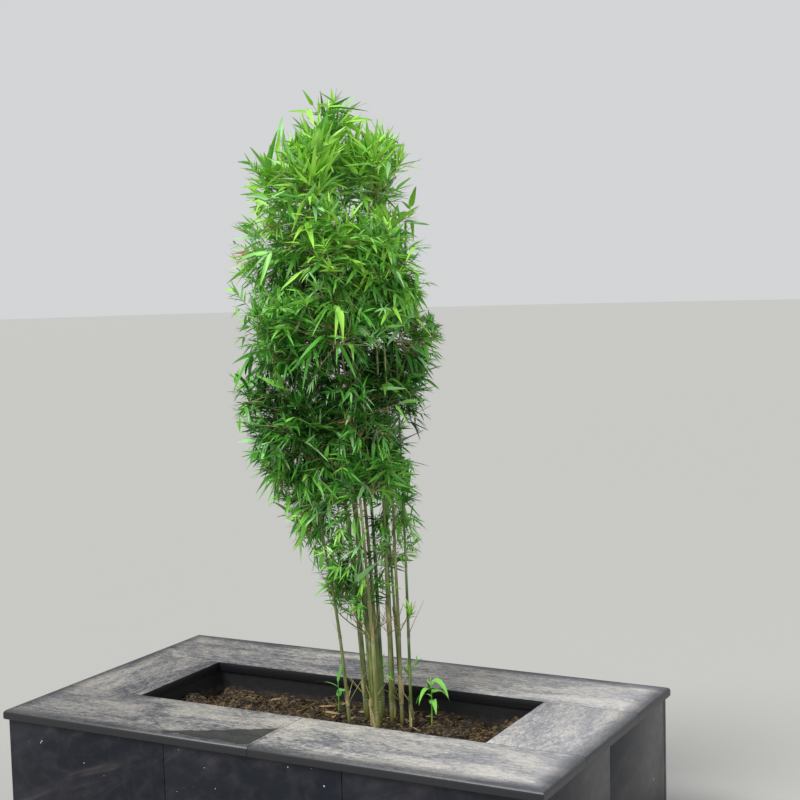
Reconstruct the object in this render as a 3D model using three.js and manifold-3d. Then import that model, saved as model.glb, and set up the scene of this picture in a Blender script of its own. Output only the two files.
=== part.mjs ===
// A clump of garden bamboo growing in a stone-clad masonry planter.
// Millimetres, +Z up, the planter's long side along X, its front facing -Y.
// The origin is the middle of the planter's flat underside.

import * as THREE from "three";
import Module from "manifold-3d";

const wasm = await Module();
wasm.setup();

// Driving dimensions of the planter

const PLANTER = { length: 1800, width: 1030, height: 450 };
const COPING = { width: 300, thickness: 30, overhang: 12, topRound: 12, footRound: 5, joint: 1.5 };
const FACING = { thickness: 20, tile: 600, joint: 2 };
const SHELL = { floor: 60, setback: 6 };
const FIT = 0.3;
const FINENESS = [0.001, 0.002, 0.004];

// The soil: its level at the clump, how far the lumps stand up, and the level place round the foot

const SOIL = { level: 370, lump: 16, settled: 8, levelReach: 250, blend: 120, columns: 20, rows: 8 };
const LUMP = { long: 71, wide: 53, skew: 190, small: 33, smallWide: 41, smallShare: 0.6 };

// The clump: where it stands, the way its crown leans, and its culms

const CLUMP = { x: 120, y: 45 };
const LEAN = { towards: THREE.MathUtils.degToRad(208), shift: 110, from: 150, to: 950 };
const CULM = { footRadius: 5.8, tipRadius: 2.1, sides: 6, bow: 0.66, tipIn: 25, tipBelow: 30 };
const JOINTS = { first: 70, apart: 215, bareTop: 60 };
const NODE_RING = { swell: 1.22, depth: 12 };

// Half width of the crown at heights above the soil

const CROWN = [
  [230, 95],
  [530, 215],
  [830, 300],
  [1180, 345],
  [1480, 340],
  [1730, 290],
  [1840, 205],
  [1970, 60],
];

// Tiers of foliage from the lowest up: the height of their middles above the soil, how many
// masses stand round the crown's axis and how far out, and how many of them end a culm
// whose foot stands so far from the clump's middle

const TIERS = [
  { height: 430, masses: 3, reach: 85, culms: 0, foot: 0 },
  { height: 690, masses: 4, reach: 150, culms: 0, foot: 0 },
  { height: 940, masses: 5, reach: 200, culms: 0, foot: 0 },
  { height: 1190, masses: 5, reach: 215, culms: 4, foot: 104 },
  { height: 1430, masses: 5, reach: 205, culms: 4, foot: 76 },
  { height: 1650, masses: 4, reach: 150, culms: 4, foot: 46 },
  { height: 1800, masses: 1, reach: 0, culms: 1, foot: 8 },
];
const TIER_TURN = 0.95;
const CELL_GAP = 1.2;
const PERCH = { least: 35, most: 70, below: 60 };

// How far sizes and places are scattered: angles in radians or shares of a step, lengths in mm

const SCATTER = { turn: 0.24, height: 70, reach: 0.16, culmTurn: 0.5, foot: 18, twigTurn: 0.6 };
const SIZES = { least: 0.85, spread: 0.3 };

// A stem leans out and up from its mass's middle, and its twigs sit along it from one share of
// its length to another. What would leave the mass's space is tried shorter and turned.

const STEM = {
  radius: 2.6,
  middle: 2.5,
  tip: 2.2,
  ofCulm: 0.62,
  reach: 110,
  shorten: 10,
  margin: 20,
  short: 0.6,
};
const STEM_LEAN = { out: 0.75, atTop: 0.1, up: 0.65, turns: [0, 0.35, -0.35, 0.7, -0.7, 1.1, -1.1] };
const SEAT = { step: 15, bareTop: 40, belowMiddle: 15, margin: 6, skip: 2 };
const PATH = { step: 12, margin: 4, clear: 1.5, overTip: 2 };
const TWIG = {
  count: 5,
  from: 0.34,
  along: 0.6,
  length: 84,
  radius: 1.3,
  tip: 1.2,
  spread: THREE.MathUtils.degToRad(58),
  tries: 5,
  shorten: 0.14,
};
const LEAF = {
  count: 4,
  length: 142,
  width: 34,
  thick: 2.2,
  ridge: 0.3,
  widest: 0.38,
  fold: 2.5,
  droop: 0.06,
  apart: 8,
  seat: 0.95,
  seatStep: 0.13,
  ahead: 0.35,
  spread: 0.85,
  hang: 0.22,
  tries: 6,
  shorten: 0.06,
};

// Young shoots beside the clump: where each stands, how tall it is and how many leaves it has

const SHOOTS = [
  { name: "left", x: -174, y: 43, height: 105, turn: 2.6, leaves: 4 },
  { name: "right", x: 163, y: 31, height: 125, turn: 0.4, leaves: 5 },
];
const SHOOT = { radius: 2.4, tip: 1.8, seat: 0.97, seatStep: 0.14 };
const SHOOT_LEAF = {
  length: 105,
  width: 26,
  ahead: 0.3,
  spread: THREE.MathUtils.degToRad(62),
  shorten: 0.08,
};

const GOLDEN = Math.PI * (3 - Math.sqrt(5));
const UP = new THREE.Vector3(0, 0, 1);

const material = (color, roughness) => new THREE.MeshStandardMaterial({ color, roughness, metalness: 0 });

const FINISH = {
  coping: material(0x8a8985, 0.75),
  facing: material(0x26282b, 0.2),
  shell: material(0x1e1f20, 0.85),
  soil: material(0x6d5138, 0.95),
  culm: material(0x8f9a45, 0.5),
  foliage: material(0x4f8f36, 0.55),
};

const root = new THREE.Group();
const planter = new THREE.Group();
const clump = new THREE.Group();
clump.position.set(CLUMP.x, CLUMP.y, SOIL.level);
root.add(planter, clump);

function place(group, name, geometry, finish) {
  const mesh = new THREE.Mesh(geometry, finish.clone());
  mesh.name = name;
  group.add(mesh);
  return mesh;
}

// A repeatable source of numbers from 0 to 1

function seeded(seed) {
  let state = seed >>> 0;
  return () => {
    state = (Math.imul(state, 1664525) + 1013904223) >>> 0;
    return state / 4294967296;
  };
}

const scatter = (random, width) => width * (random() - 0.5);
const someSize = (random) => SIZES.least + SIZES.spread * random();

// Closed solids from points and faces, and their joining and cutting

function closedGeometry(points, faces) {
  const geometry = new THREE.BufferGeometry();
  const numbers = points.flatMap((point) => [point.x, point.y, point.z]);
  geometry.setAttribute("position", new THREE.Float32BufferAttribute(numbers, 3));
  geometry.setIndex(faces.flat());
  return geometry;
}

function solidOf(geometry) {
  const keys = new Map();
  const positions = geometry.getAttribute("position");
  const vertProperties = [];
  const vertexOf = [];
  for (let i = 0; i < positions.count; i += 1) {
    const point = [positions.getX(i), positions.getY(i), positions.getZ(i)];
    const key = point.map((value) => Math.round(value * 1e4)).join();
    if (!keys.has(key)) {
      keys.set(key, keys.size);
      vertProperties.push(...point);
    }
    vertexOf.push(keys.get(key));
  }
  const corners = geometry.index ? Array.from(geometry.index.array) : vertexOf.map((_, i) => i);
  const triVerts = Uint32Array.from(corners, (corner) => vertexOf[corner]);
  const mesh = new wasm.Mesh({ numProp: 3, vertProperties: Float32Array.from(vertProperties), triVerts });
  return new wasm.Manifold(mesh);
}

function geometryOf(solid) {
  const { vertProperties, triVerts, numProp } = solid.getMesh();
  const geometry = new THREE.BufferGeometry();
  const numbers = [];
  for (let i = 0; i < vertProperties.length; i += numProp) {
    numbers.push(vertProperties[i], vertProperties[i + 1], vertProperties[i + 2]);
  }
  geometry.setAttribute("position", new THREE.Float32BufferAttribute(numbers, 3));
  geometry.setIndex(Array.from(triVerts));
  return geometry;
}

// Whether every edge still has two faces when points of the given fineness are taken as one

function staysClosed(geometry, fineness) {
  const positions = geometry.getAttribute("position");
  const keys = new Map();
  const pointOf = [];
  for (let i = 0; i < positions.count; i += 1) {
    const point = [positions.getX(i), positions.getY(i), positions.getZ(i)];
    const key = point.map((value) => Math.round(value / fineness)).join();
    if (!keys.has(key)) keys.set(key, keys.size);
    pointOf.push(keys.get(key));
  }
  const uses = new Map();
  const corners = Array.from(geometry.index.array, (corner) => pointOf[corner]);
  for (let face = 0; face < corners.length; face += 3) {
    const [a, b, c] = corners.slice(face, face + 3);
    if (a === b || b === c || c === a) return false;
    for (const [from, to] of [[a, b], [b, c], [c, a]]) {
      const edge = `${Math.min(from, to)},${Math.max(from, to)}`;
      uses.set(edge, (uses.get(edge) ?? 0) + 1);
    }
  }
  return [...uses.values()].every((count) => count === 2);
}

// A tapering tube with closed ends. A ring is square to the path, except a level first one.

function tube(centres, radii, sides, levelFoot = false) {
  const whole = centres.at(-1).clone().sub(centres[0]).normalize();
  const across = Math.abs(whole.x) < 0.6 ? new THREE.Vector3(1, 0, 0) : new THREE.Vector3(0, 1, 0);
  const points = [];
  centres.forEach((centre, i) => {
    const before = centres[Math.max(i - 1, 0)];
    const after = centres[Math.min(i + 1, centres.length - 1)];
    const along = levelFoot && i === 0 ? UP.clone() : after.clone().sub(before).normalize();
    const u = across.clone().addScaledVector(along, -across.dot(along)).normalize();
    const v = along.clone().cross(u);
    for (let k = 0; k < sides; k += 1) {
      const angle = (2 * Math.PI * k) / sides;
      const spoke = u.clone().multiplyScalar(Math.cos(angle)).addScaledVector(v, Math.sin(angle));
      points.push(centre.clone().addScaledVector(spoke, radii[i]));
    }
  });
  const faces = [];
  const last = (centres.length - 1) * sides;
  for (let k = 0; k < sides; k += 1) {
    const next = (k + 1) % sides;
    for (let ring = 0; ring < last; ring += sides) {
      faces.push([ring + k, ring + next, ring + sides + next]);
      faces.push([ring + k, ring + sides + next, ring + sides + k]);
    }
    if (k > 0 && k < sides - 1) {
      faces.push([0, next, k]);
      faces.push([last, last + k, last + next]);
    }
  }
  return closedGeometry(points, faces);
}

// A leaf of eight faces: root, tip, two widest points, and a ridge above and below the rib

function leaf(rootPoint, along, length, width) {
  const side = UP.clone().cross(along).normalize();
  const normal = along.clone().cross(side);
  const at = (forward, sideways, rise) =>
    rootPoint
      .clone()
      .addScaledVector(along, forward)
      .addScaledVector(side, sideways)
      .addScaledVector(normal, rise);
  const widest = LEAF.widest * length;
  const points = [
    rootPoint.clone(),
    at(length, 0, -LEAF.droop * length),
    at(widest, -width / 2, LEAF.fold),
    at(widest, width / 2, LEAF.fold),
    at(LEAF.ridge * length, 0, LEAF.thick / 2),
    at(LEAF.ridge * length, 0, -LEAF.thick / 2),
  ];
  const faces = [];
  for (const end of [0, 1]) {
    const ring = end === 0 ? [4, 3, 5, 2] : [2, 5, 3, 4];
    ring.forEach((corner, i) => faces.push([end, corner, ring[(i + 1) % ring.length]]));
  }
  return { points, geometry: closedGeometry(points, faces) };
}

// The planter's masonry shell, an open box with a floor

const bodyLength = PLANTER.length - 2 * COPING.overhang;
const bodyWidth = PLANTER.width - 2 * COPING.overhang;
const copingFoot = PLANTER.height - COPING.thickness;
const wellLength = PLANTER.length - 2 * COPING.width;
const wellWidth = PLANTER.width - 2 * COPING.width;

function box(low, high) {
  const geometry = new THREE.BoxGeometry(high[0] - low[0], high[1] - low[1], high[2] - low[2]);
  geometry.translate((low[0] + high[0]) / 2, (low[1] + high[1]) / 2, (low[2] + high[2]) / 2);
  return geometry;
}

function makeShell() {
  const x = bodyLength / 2 - FACING.thickness - FIT;
  const y = bodyWidth / 2 - FACING.thickness - FIT;
  const wellX = wellLength / 2 + SHELL.setback;
  const wellY = wellWidth / 2 + SHELL.setback;
  const block = solidOf(box([-x, -y, 0], [x, y, copingFoot - FIT]));
  const well = solidOf(box([-wellX, -wellY, SHELL.floor], [wellX, wellY, PLANTER.height]));
  place(planter, "planter_shell", geometryOf(block.subtract(well)), FINISH.shell);
}

// Polished facing tiles, the end ones held between the long sides

function tileBox(x0, x1, y0, y1) {
  const low = [Math.min(x0, x1), Math.min(y0, y1), 0];
  const high = [Math.max(x0, x1), Math.max(y0, y1), copingFoot - FIT];
  return box(low, high);
}

function makeFacing() {
  const joint = FACING.joint / 2;
  const x = bodyLength / 2;
  const y = bodyWidth / 2;
  const inner = y - FACING.thickness;
  const half = FACING.tile / 2;
  const spans = [
    [-x, -half - joint],
    [-half + joint, half - joint],
    [half + joint, x],
  ];
  for (const [side, sign] of [["front", -1], ["back", 1]]) {
    spans.forEach(([left, right], k) => {
      const tile = tileBox(left, right, sign * inner, sign * y);
      place(planter, `facing_${side}_${k + 1}`, tile, FINISH.facing);
    });
  }
  for (const [side, sign] of [["left", -1], ["right", 1]]) {
    for (const [k, outY] of [[1, -1], [2, 1]]) {
      const tile = tileBox(sign * (x - FACING.thickness), sign * x, outY * joint, outY * (inner - FIT));
      place(planter, `facing_${side}_${k}`, tile, FINISH.facing);
    }
  }
}

// Coping slabs with a rounded outer edge

function slabSection(width) {
  const { thickness, topRound, footRound } = COPING;
  const shape = new THREE.Shape();
  shape.moveTo(0, 0);
  shape.lineTo(width - footRound, 0);
  shape.absarc(width - footRound, footRound, footRound, -Math.PI / 2, 0, false);
  shape.absarc(width - topRound, thickness - topRound, topRound, 0, Math.PI / 2, false);
  shape.lineTo(0, thickness);
  return shape;
}

// A bar with this section, its width pointing outward from the middle of its inner foot edge

function bar(section, length, outward, middle) {
  const options = { depth: length, bevelEnabled: false, curveSegments: 4 };
  const geometry = new THREE.ExtrudeGeometry(section, options);
  const along = outward.clone().cross(UP);
  geometry.translate(0, 0, -length / 2);
  geometry.applyMatrix4(new THREE.Matrix4().makeBasis(outward, UP, along).setPosition(middle));
  return geometry;
}

// Two long slabs meet in the middle of each long side, round on their outer side and end

function makeCoping() {
  const joint = COPING.joint / 2;
  const longSlab = PLANTER.length / 2 - joint;
  const endSlab = wellWidth - 2 * COPING.joint;
  for (const [side, outY] of [["front", -1], ["back", 1]]) {
    for (const [k, outX] of [[1, -1], [2, 1]]) {
      const middleX = outX * (joint + longSlab / 2);
      const middleY = (outY * (wellWidth + COPING.width)) / 2;
      const innerEdge = new THREE.Vector3(middleX, (outY * wellWidth) / 2, copingFoot);
      const innerEnd = new THREE.Vector3(outX * joint, middleY, copingFoot);
      const edge = bar(slabSection(COPING.width), longSlab, new THREE.Vector3(0, outY, 0), innerEdge);
      const end = bar(slabSection(longSlab), COPING.width, new THREE.Vector3(outX, 0, 0), innerEnd);
      const slab = solidOf(edge).intersect(solidOf(end));
      place(planter, `coping_${side}_${k}`, geometryOf(slab), FINISH.coping);
    }
  }
  for (const [side, outX] of [["left", -1], ["right", 1]]) {
    const innerEdge = new THREE.Vector3((outX * wellLength) / 2, 0, copingFoot);
    const slab = bar(slabSection(COPING.width), endSlab, new THREE.Vector3(outX, 0, 0), innerEdge);
    place(planter, `coping_${side}`, geometryOf(solidOf(slab)), FINISH.coping);
  }
}

// Soil that fills the well, lumpy on top and level where the clump stands

function soilHeight(x, y) {
  const fromClump = Math.hypot(x - CLUMP.x, y - CLUMP.y);
  const rise = THREE.MathUtils.smoothstep(fromClump, SOIL.levelReach, SOIL.levelReach + SOIL.blend);
  const large = Math.sin(x / LUMP.long) * Math.cos(y / LUMP.wide + x / LUMP.skew);
  const small = LUMP.smallShare * Math.sin(x / LUMP.small + y / LUMP.smallWide);
  return SOIL.level + rise * (SOIL.lump * (large + small) - SOIL.settled);
}

function makeSoil() {
  const x = wellLength / 2 + SHELL.setback - FIT;
  const y = wellWidth / 2 + SHELL.setback - FIT;
  const foot = SHELL.floor + FIT;
  const points = [];
  for (let row = 0; row <= SOIL.rows; row += 1) {
    for (let column = 0; column <= SOIL.columns; column += 1) {
      const px = -x + (2 * x * column) / SOIL.columns;
      const py = -y + (2 * y * row) / SOIL.rows;
      points.push(new THREE.Vector3(px, py, soilHeight(px, py)));
    }
  }
  const stride = SOIL.columns + 1;
  const faces = [];
  for (let row = 0; row < SOIL.rows; row += 1) {
    for (let column = 0; column < SOIL.columns; column += 1) {
      const a = row * stride + column;
      faces.push([a, a + 1, a + stride + 1], [a, a + stride + 1, a + stride]);
    }
  }
  const rim = [];
  for (let column = 0; column < SOIL.columns; column += 1) rim.push(column);
  for (let row = 0; row < SOIL.rows; row += 1) rim.push(row * stride + SOIL.columns);
  for (let column = SOIL.columns; column > 0; column -= 1) rim.push(SOIL.rows * stride + column);
  for (let row = SOIL.rows; row > 0; row -= 1) rim.push(row * stride);
  const footStart = points.length;
  for (const corner of rim) points.push(points[corner].clone().setZ(foot));
  const middle = points.length;
  points.push(new THREE.Vector3(0, 0, foot));
  rim.forEach((corner, i) => {
    const next = (i + 1) % rim.length;
    faces.push([corner, footStart + i, footStart + next], [corner, footStart + next, rim[next]]);
    faces.push([middle, footStart + next, footStart + i]);
  });
  place(planter, "soil", closedGeometry(points, faces), FINISH.soil);
}

// The crown: its leaning axis, its half width, and the middles of its masses of foliage.
// From here on heights are above the soil and places are from the clump's middle.

function crownAxis(height) {
  const drift = LEAN.shift * THREE.MathUtils.smoothstep(height, LEAN.from, LEAN.to);
  return new THREE.Vector3(drift * Math.cos(LEAN.towards), drift * Math.sin(LEAN.towards), height);
}

function crownReach(height) {
  if (height < CROWN[0][0] || height > CROWN.at(-1)[0]) return 0;
  const upper = CROWN.findIndex(([level]) => level >= height);
  if (upper === 0) return CROWN[0][1];
  const [low, lowReach] = CROWN[upper - 1];
  const [high, highReach] = CROWN[upper];
  return lowReach + ((highReach - lowReach) * (height - low)) / (high - low);
}

function planMasses() {
  const random = seeded(7);
  const masses = [];
  TIERS.forEach((tier, level) => {
    for (let k = 0; k < tier.masses; k += 1) {
      const step = (2 * Math.PI) / tier.masses;
      const angle = level * TIER_TURN + step * (k + scatter(random, SCATTER.turn));
      const height = tier.height + scatter(random, SCATTER.height);
      const outward = new THREE.Vector3(Math.cos(angle), Math.sin(angle), 0);
      const reach = tier.reach * (1 + scatter(random, SCATTER.reach));
      const middle = crownAxis(height).addScaledVector(outward, reach);
      const share = tier.culms / tier.masses;
      const endsCulm = Math.floor((k + 1) * share) > Math.floor(k * share);
      masses.push({ middle, outward, angle, endsCulm, foot: tier.foot, seed: 101 + masses.length * 17 });
    }
  });
  return masses;
}

const masses = planMasses();

// A point belongs to the mass whose middle is nearest, with a gap kept between neighbours

function keepsToCell(mass, point, margin) {
  const reach = crownReach(point.z);
  const axis = crownAxis(point.z);
  if (Math.hypot(point.x - axis.x, point.y - axis.y) > reach - margin) return false;
  return masses.every((other) => {
    if (other === mass) return true;
    const between = other.middle.clone().sub(mass.middle);
    const span = between.length();
    const along = point.clone().sub(mass.middle).dot(between) / span;
    return along < span / 2 - CELL_GAP / 2 - margin;
  });
}

// Culms rise from the foot of the clump and lean out to the masses that they end in

function planCulms() {
  const random = seeded(11);
  return masses
    .filter((mass) => mass.endsCulm)
    .map((mass) => {
      const angle = mass.angle + scatter(random, SCATTER.culmTurn);
      const spread = mass.foot + scatter(random, SCATTER.foot);
      const foot = new THREE.Vector3(spread * Math.cos(angle), spread * Math.sin(angle), FIT);
      const tip = mass.middle.clone().addScaledVector(mass.outward, -CULM.tipIn);
      tip.z = mass.middle.z - CULM.tipBelow;
      return { foot, tip, mass, stout: someSize(random) };
    });
}

const culms = planCulms();

function culmPoint(culm, height) {
  const rise = height / culm.tip.z;
  const outShare = (1 - CULM.bow) * rise + CULM.bow * rise * rise;
  return culm.foot.clone().lerp(culm.tip, outShare).setZ(height);
}

function culmRadius(culm, height) {
  const rise = THREE.MathUtils.clamp(height / culm.tip.z, 0, 1);
  return THREE.MathUtils.lerp(CULM.footRadius * culm.stout, CULM.tipRadius, rise);
}

// A mass that ends no culm is drawn near enough to one to be carried by it, and off any
// culm that runs through its middle

function perchMasses() {
  for (const mass of masses.filter(({ endsCulm }) => !endsCulm)) {
    const offsetAt = (height) =>
      culms
        .filter((culm) => culm.tip.z > height)
        .map((culm) => mass.middle.clone().setZ(height).sub(culmPoint(culm, height)))
        .reduce((best, offset) => (offset.length() < best.length() ? offset : best));
    const below = offsetAt(mass.middle.z - PERCH.below);
    mass.middle.addScaledVector(below.clone().normalize(), Math.min(PERCH.most - below.length(), 0));
    const beside = offsetAt(mass.middle.z);
    mass.middle.addScaledVector(beside.clone().normalize(), Math.max(PERCH.least - beside.length(), 0));
  }
}

perchMasses();

function culmNodes(culm) {
  const count = Math.ceil((culm.tip.z - JOINTS.bareTop - JOINTS.first) / JOINTS.apart);
  return Array.from({ length: count }, (_, i) => JOINTS.first + i * JOINTS.apart);
}

function culmGeometry(culm, grow) {
  const heights = [culm.foot.z];
  const radii = [culmRadius(culm, 0)];
  for (const height of culmNodes(culm)) {
    const radius = culmRadius(culm, height);
    heights.push(height, height + NODE_RING.depth);
    radii.push(radius * NODE_RING.swell, radius);
  }
  heights.push(culm.tip.z);
  radii.push(CULM.tipRadius);
  const centres = heights.map((height) => culmPoint(culm, height));
  return tube(centres, radii.map((radius) => radius + grow), CULM.sides, true);
}

function makeCulms() {
  culms.forEach((culm, i) => {
    place(clump, `culm_${String(i + 1).padStart(2, "0")}`, culmGeometry(culm, 0), FINISH.culm);
  });
}

function clearOfCulms(point, radius) {
  return culms.every((culm) => {
    if (point.z > culm.tip.z + radius + PATH.overTip) return true;
    const height = Math.min(point.z, culm.tip.z);
    const swollen = culmRadius(culm, height) * NODE_RING.swell;
    return culmPoint(culm, height).distanceTo(point) > swollen + radius + PATH.clear;
  });
}

// The stem of a mass starts at its culm's tip, or at a node of a culm near by, and runs
// through the middle of the mass towards its outer side

function pathFits(mass, from, to, radius, skip) {
  const steps = Math.ceil(from.distanceTo(to) / PATH.step);
  for (let i = skip; i <= steps; i += 1) {
    const point = from.clone().lerp(to, i / steps);
    if (!keepsToCell(mass, point, PATH.margin) || !clearOfCulms(point, radius)) return false;
  }
  return true;
}

function culmHeights(culm) {
  const nodes = culmNodes(culm).map((height) => height + NODE_RING.depth / 2);
  const count = Math.ceil((culm.tip.z - SEAT.bareTop - JOINTS.first) / SEAT.step);
  const between = Array.from({ length: count }, (_, i) => JOINTS.first + i * SEAT.step);
  return { nodes, between };
}

function stemStart(mass) {
  const own = culms.find((culm) => culm.mass === mass);
  if (own) return { point: own.tip.clone().setZ(own.tip.z + FIT), culm: own, fromTip: true };
  const highest = mass.middle.z - SEAT.belowMiddle;
  const seatsAt = (kind) =>
    culms.flatMap((culm) =>
      culmHeights(culm)
        [kind].map((height) => ({ culm, point: culmPoint(culm, height), fromTip: false }))
        .filter(({ point }) => point.z < highest && keepsToCell(mass, point, SEAT.margin))
        .filter(({ point }) => pathFits(mass, point, mass.middle, STEM.radius, SEAT.skip)),
    );
  const nodes = seatsAt("nodes");
  const seats = nodes.length > 0 ? nodes : seatsAt("between");
  const away = ({ point }) => point.distanceTo(mass.middle);
  return seats.reduce((best, seat) => (away(seat) < away(best) ? seat : best));
}

function planStem(mass, start) {
  const lean = mass.foot === TIERS.at(-1).foot ? STEM_LEAN.atTop : STEM_LEAN.out;
  for (let reach = STEM.reach; reach > STEM.shorten; reach -= STEM.shorten) {
    for (const turn of STEM_LEAN.turns) {
      const ahead = mass.outward.clone().applyAxisAngle(UP, turn).multiplyScalar(lean);
      ahead.addScaledVector(UP, STEM_LEAN.up).normalize();
      const end = mass.middle.clone().addScaledVector(ahead, reach);
      if (!keepsToCell(mass, end, STEM.margin)) continue;
      if (!pathFits(mass, mass.middle, end, STEM.radius, 1)) continue;
      return [start.point, mass.middle.clone(), end];
    }
  }
  return [start.point, start.point.clone().lerp(mass.middle, STEM.short), mass.middle.clone()];
}

function alongStem(stem, share) {
  const first = stem[0].distanceTo(stem[1]);
  const second = stem[1].distanceTo(stem[2]);
  const run = share * (first + second);
  const [from, to] = run < first ? [stem[0], stem[1]] : [stem[1], stem[2]];
  const done = run < first ? run / first : (run - first) / second;
  return { point: from.clone().lerp(to, done), ahead: to.clone().sub(from).normalize() };
}

// A direction that leaves another one by an angle, turned about it

function branchOff(ahead, turn, spread) {
  const across = Math.abs(ahead.z) < 0.8 ? UP : new THREE.Vector3(1, 0, 0);
  const u = across.clone().cross(ahead).normalize();
  const v = ahead.clone().cross(u);
  const sideways = u.multiplyScalar(Math.cos(turn)).addScaledVector(v, Math.sin(turn));
  const turned = ahead.clone().multiplyScalar(Math.cos(spread));
  return turned.addScaledVector(sideways, Math.sin(spread)).normalize();
}

// Leaves of one mass keep apart beyond their roots

function clearOfLeaves(ribs, from, to) {
  const nearest = new THREE.Vector3();
  return [0.3, 0.5, 0.7, 0.9].every((step) => {
    const point = from.clone().lerp(to, step);
    const gap = (rib) => rib.closestPointToPoint(point, true, nearest).distanceTo(point);
    return ribs.every((rib) => gap(rib) > LEAF.apart);
  });
}

function leafFits(mass, blade, rootPoint, tip, ribs) {
  if (!blade.points.every((point) => keepsToCell(mass, point, 0))) return false;
  if (!clearOfLeaves(ribs, rootPoint, tip)) return false;
  const steps = [0.1, 0.25, 0.4, 0.6, 0.8, 1];
  return steps.every((step) => {
    const share = step < LEAF.widest ? step / LEAF.widest : (1 - step) / (1 - LEAF.widest);
    return clearOfCulms(rootPoint.clone().lerp(tip, step), (share * LEAF.width) / 2);
  });
}

function growLeaves(mass, twig, random, pieces, ribs) {
  const ahead = twig.to.clone().sub(twig.from).normalize();
  for (let k = 0; k < LEAF.count; k += 1) {
    const seat = twig.from.clone().lerp(twig.to, LEAF.seat - LEAF.seatStep * k);
    const turn = k * GOLDEN * 1.5 + 2 * Math.PI * random();
    const size = someSize(random);
    for (let tried = 0; tried < LEAF.tries; tried += 1) {
      const spread = k === 0 && tried === 0 ? LEAF.ahead : LEAF.spread;
      const along = branchOff(ahead, turn + tried * GOLDEN, spread);
      along.addScaledVector(UP, -LEAF.hang).normalize();
      const length = LEAF.length * size * (1 - LEAF.shorten * tried);
      const tip = seat.clone().addScaledVector(along, length);
      const blade = leaf(seat, along, length, LEAF.width * size);
      if (!leafFits(mass, blade, seat, tip, ribs)) continue;
      ribs.push(new THREE.Line3(seat, tip));
      pieces.push(solidOf(blade.geometry));
      break;
    }
  }
}

function growTwigs(mass, stem, random, pieces, ribs) {
  for (let i = 0; i < TWIG.count; i += 1) {
    const share = TWIG.from + (TWIG.along * i) / (TWIG.count - 1);
    const { point, ahead } = alongStem(stem, share);
    const length = TWIG.length * someSize(random);
    const turn = i * GOLDEN + SCATTER.twigTurn * random();
    for (let tried = 0; tried < TWIG.tries; tried += 1) {
      const along = branchOff(ahead, turn + tried * GOLDEN, TWIG.spread);
      const to = point.clone().addScaledVector(along, length * (1 - TWIG.shorten * tried));
      if (!pathFits(mass, point, to, TWIG.radius, 1)) continue;
      pieces.push(solidOf(tube([point, to], [TWIG.radius, TWIG.tip], 3)));
      growLeaves(mass, { from: point, to }, random, pieces, ribs);
      break;
    }
  }
}

function growMass(mass, random) {
  const start = stemStart(mass);
  const stem = planStem(mass, start);
  const thick = Math.min(STEM.radius, STEM.ofCulm * culmRadius(start.culm, start.point.z));
  const radii = [start.fromTip ? CULM.tipRadius : thick, STEM.middle, STEM.tip];
  const pieces = [solidOf(tube(stem, radii, 3, start.fromTip))];
  const ribs = [];
  growTwigs(mass, stem, random, pieces, ribs);
  growLeaves(mass, { from: stem[1], to: stem[2] }, random, pieces, ribs);
  const joined = wasm.Manifold.union(pieces);
  const clear = FIT / Math.cos(Math.PI / CULM.sides);
  const solid = start.fromTip ? joined : joined.subtract(solidOf(culmGeometry(start.culm, clear)));
  return geometryOf(solid);
}

// A mass whose faces come within a hair of each other is grown again from the next seed

function makeMasses() {
  masses.forEach((mass, i) => {
    let seed = mass.seed;
    let geometry = growMass(mass, seeded(seed));
    while (!FINENESS.every((fineness) => staysClosed(geometry, fineness))) {
      seed += 1;
      geometry = growMass(mass, seeded(seed));
    }
    place(clump, `foliage_${String(i + 1).padStart(2, "0")}`, geometry, FINISH.foliage);
  });
}

// Each shoot is a short stem from the soil with leaves round its upper half

function makeShoots() {
  for (const shoot of SHOOTS) {
    const foot = new THREE.Vector3(shoot.x, shoot.y, FIT);
    const top = foot.clone().setZ(shoot.height);
    const pieces = [solidOf(tube([foot, top], [SHOOT.radius, SHOOT.tip], 3, true))];
    for (let k = 0; k < shoot.leaves; k += 1) {
      const seat = foot.clone().lerp(top, SHOOT.seat - SHOOT.seatStep * k);
      const spread = k === 0 ? SHOOT_LEAF.ahead : SHOOT_LEAF.spread;
      const length = SHOOT_LEAF.length * (1 - SHOOT_LEAF.shorten * k);
      const along = branchOff(UP, shoot.turn + k * GOLDEN, spread);
      const tip = seat.clone().addScaledVector(along, length);
      const clear = (step) => clearOfCulms(seat.clone().lerp(tip, step), SHOOT_LEAF.width / 2);
      if (![0.4, 0.7, 1].every(clear)) continue;
      pieces.push(solidOf(leaf(seat, along, length, SHOOT_LEAF.width).geometry));
    }
    place(clump, `shoot_${shoot.name}`, geometryOf(wasm.Manifold.union(pieces)), FINISH.foliage);
  }
}

makeShell();
makeFacing();
makeCoping();
makeSoil();
makeCulms();
makeMasses();
makeShoots();

export default root;
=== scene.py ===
# %% [markdown]
# # A clump of bamboo in a stone planter
# The planter's shell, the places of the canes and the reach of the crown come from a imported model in
# metres, +Z up. This file dresses that model: stone gets its honed, weathered or polished surface, and
# each cane, twig and leaf is grown by a rule, so that nothing has to be fitted by hand afterwards.

# %% Load the frame
import math

import bmesh
import bpy
import numpy as np
from mathutils import Matrix, Vector


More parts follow.
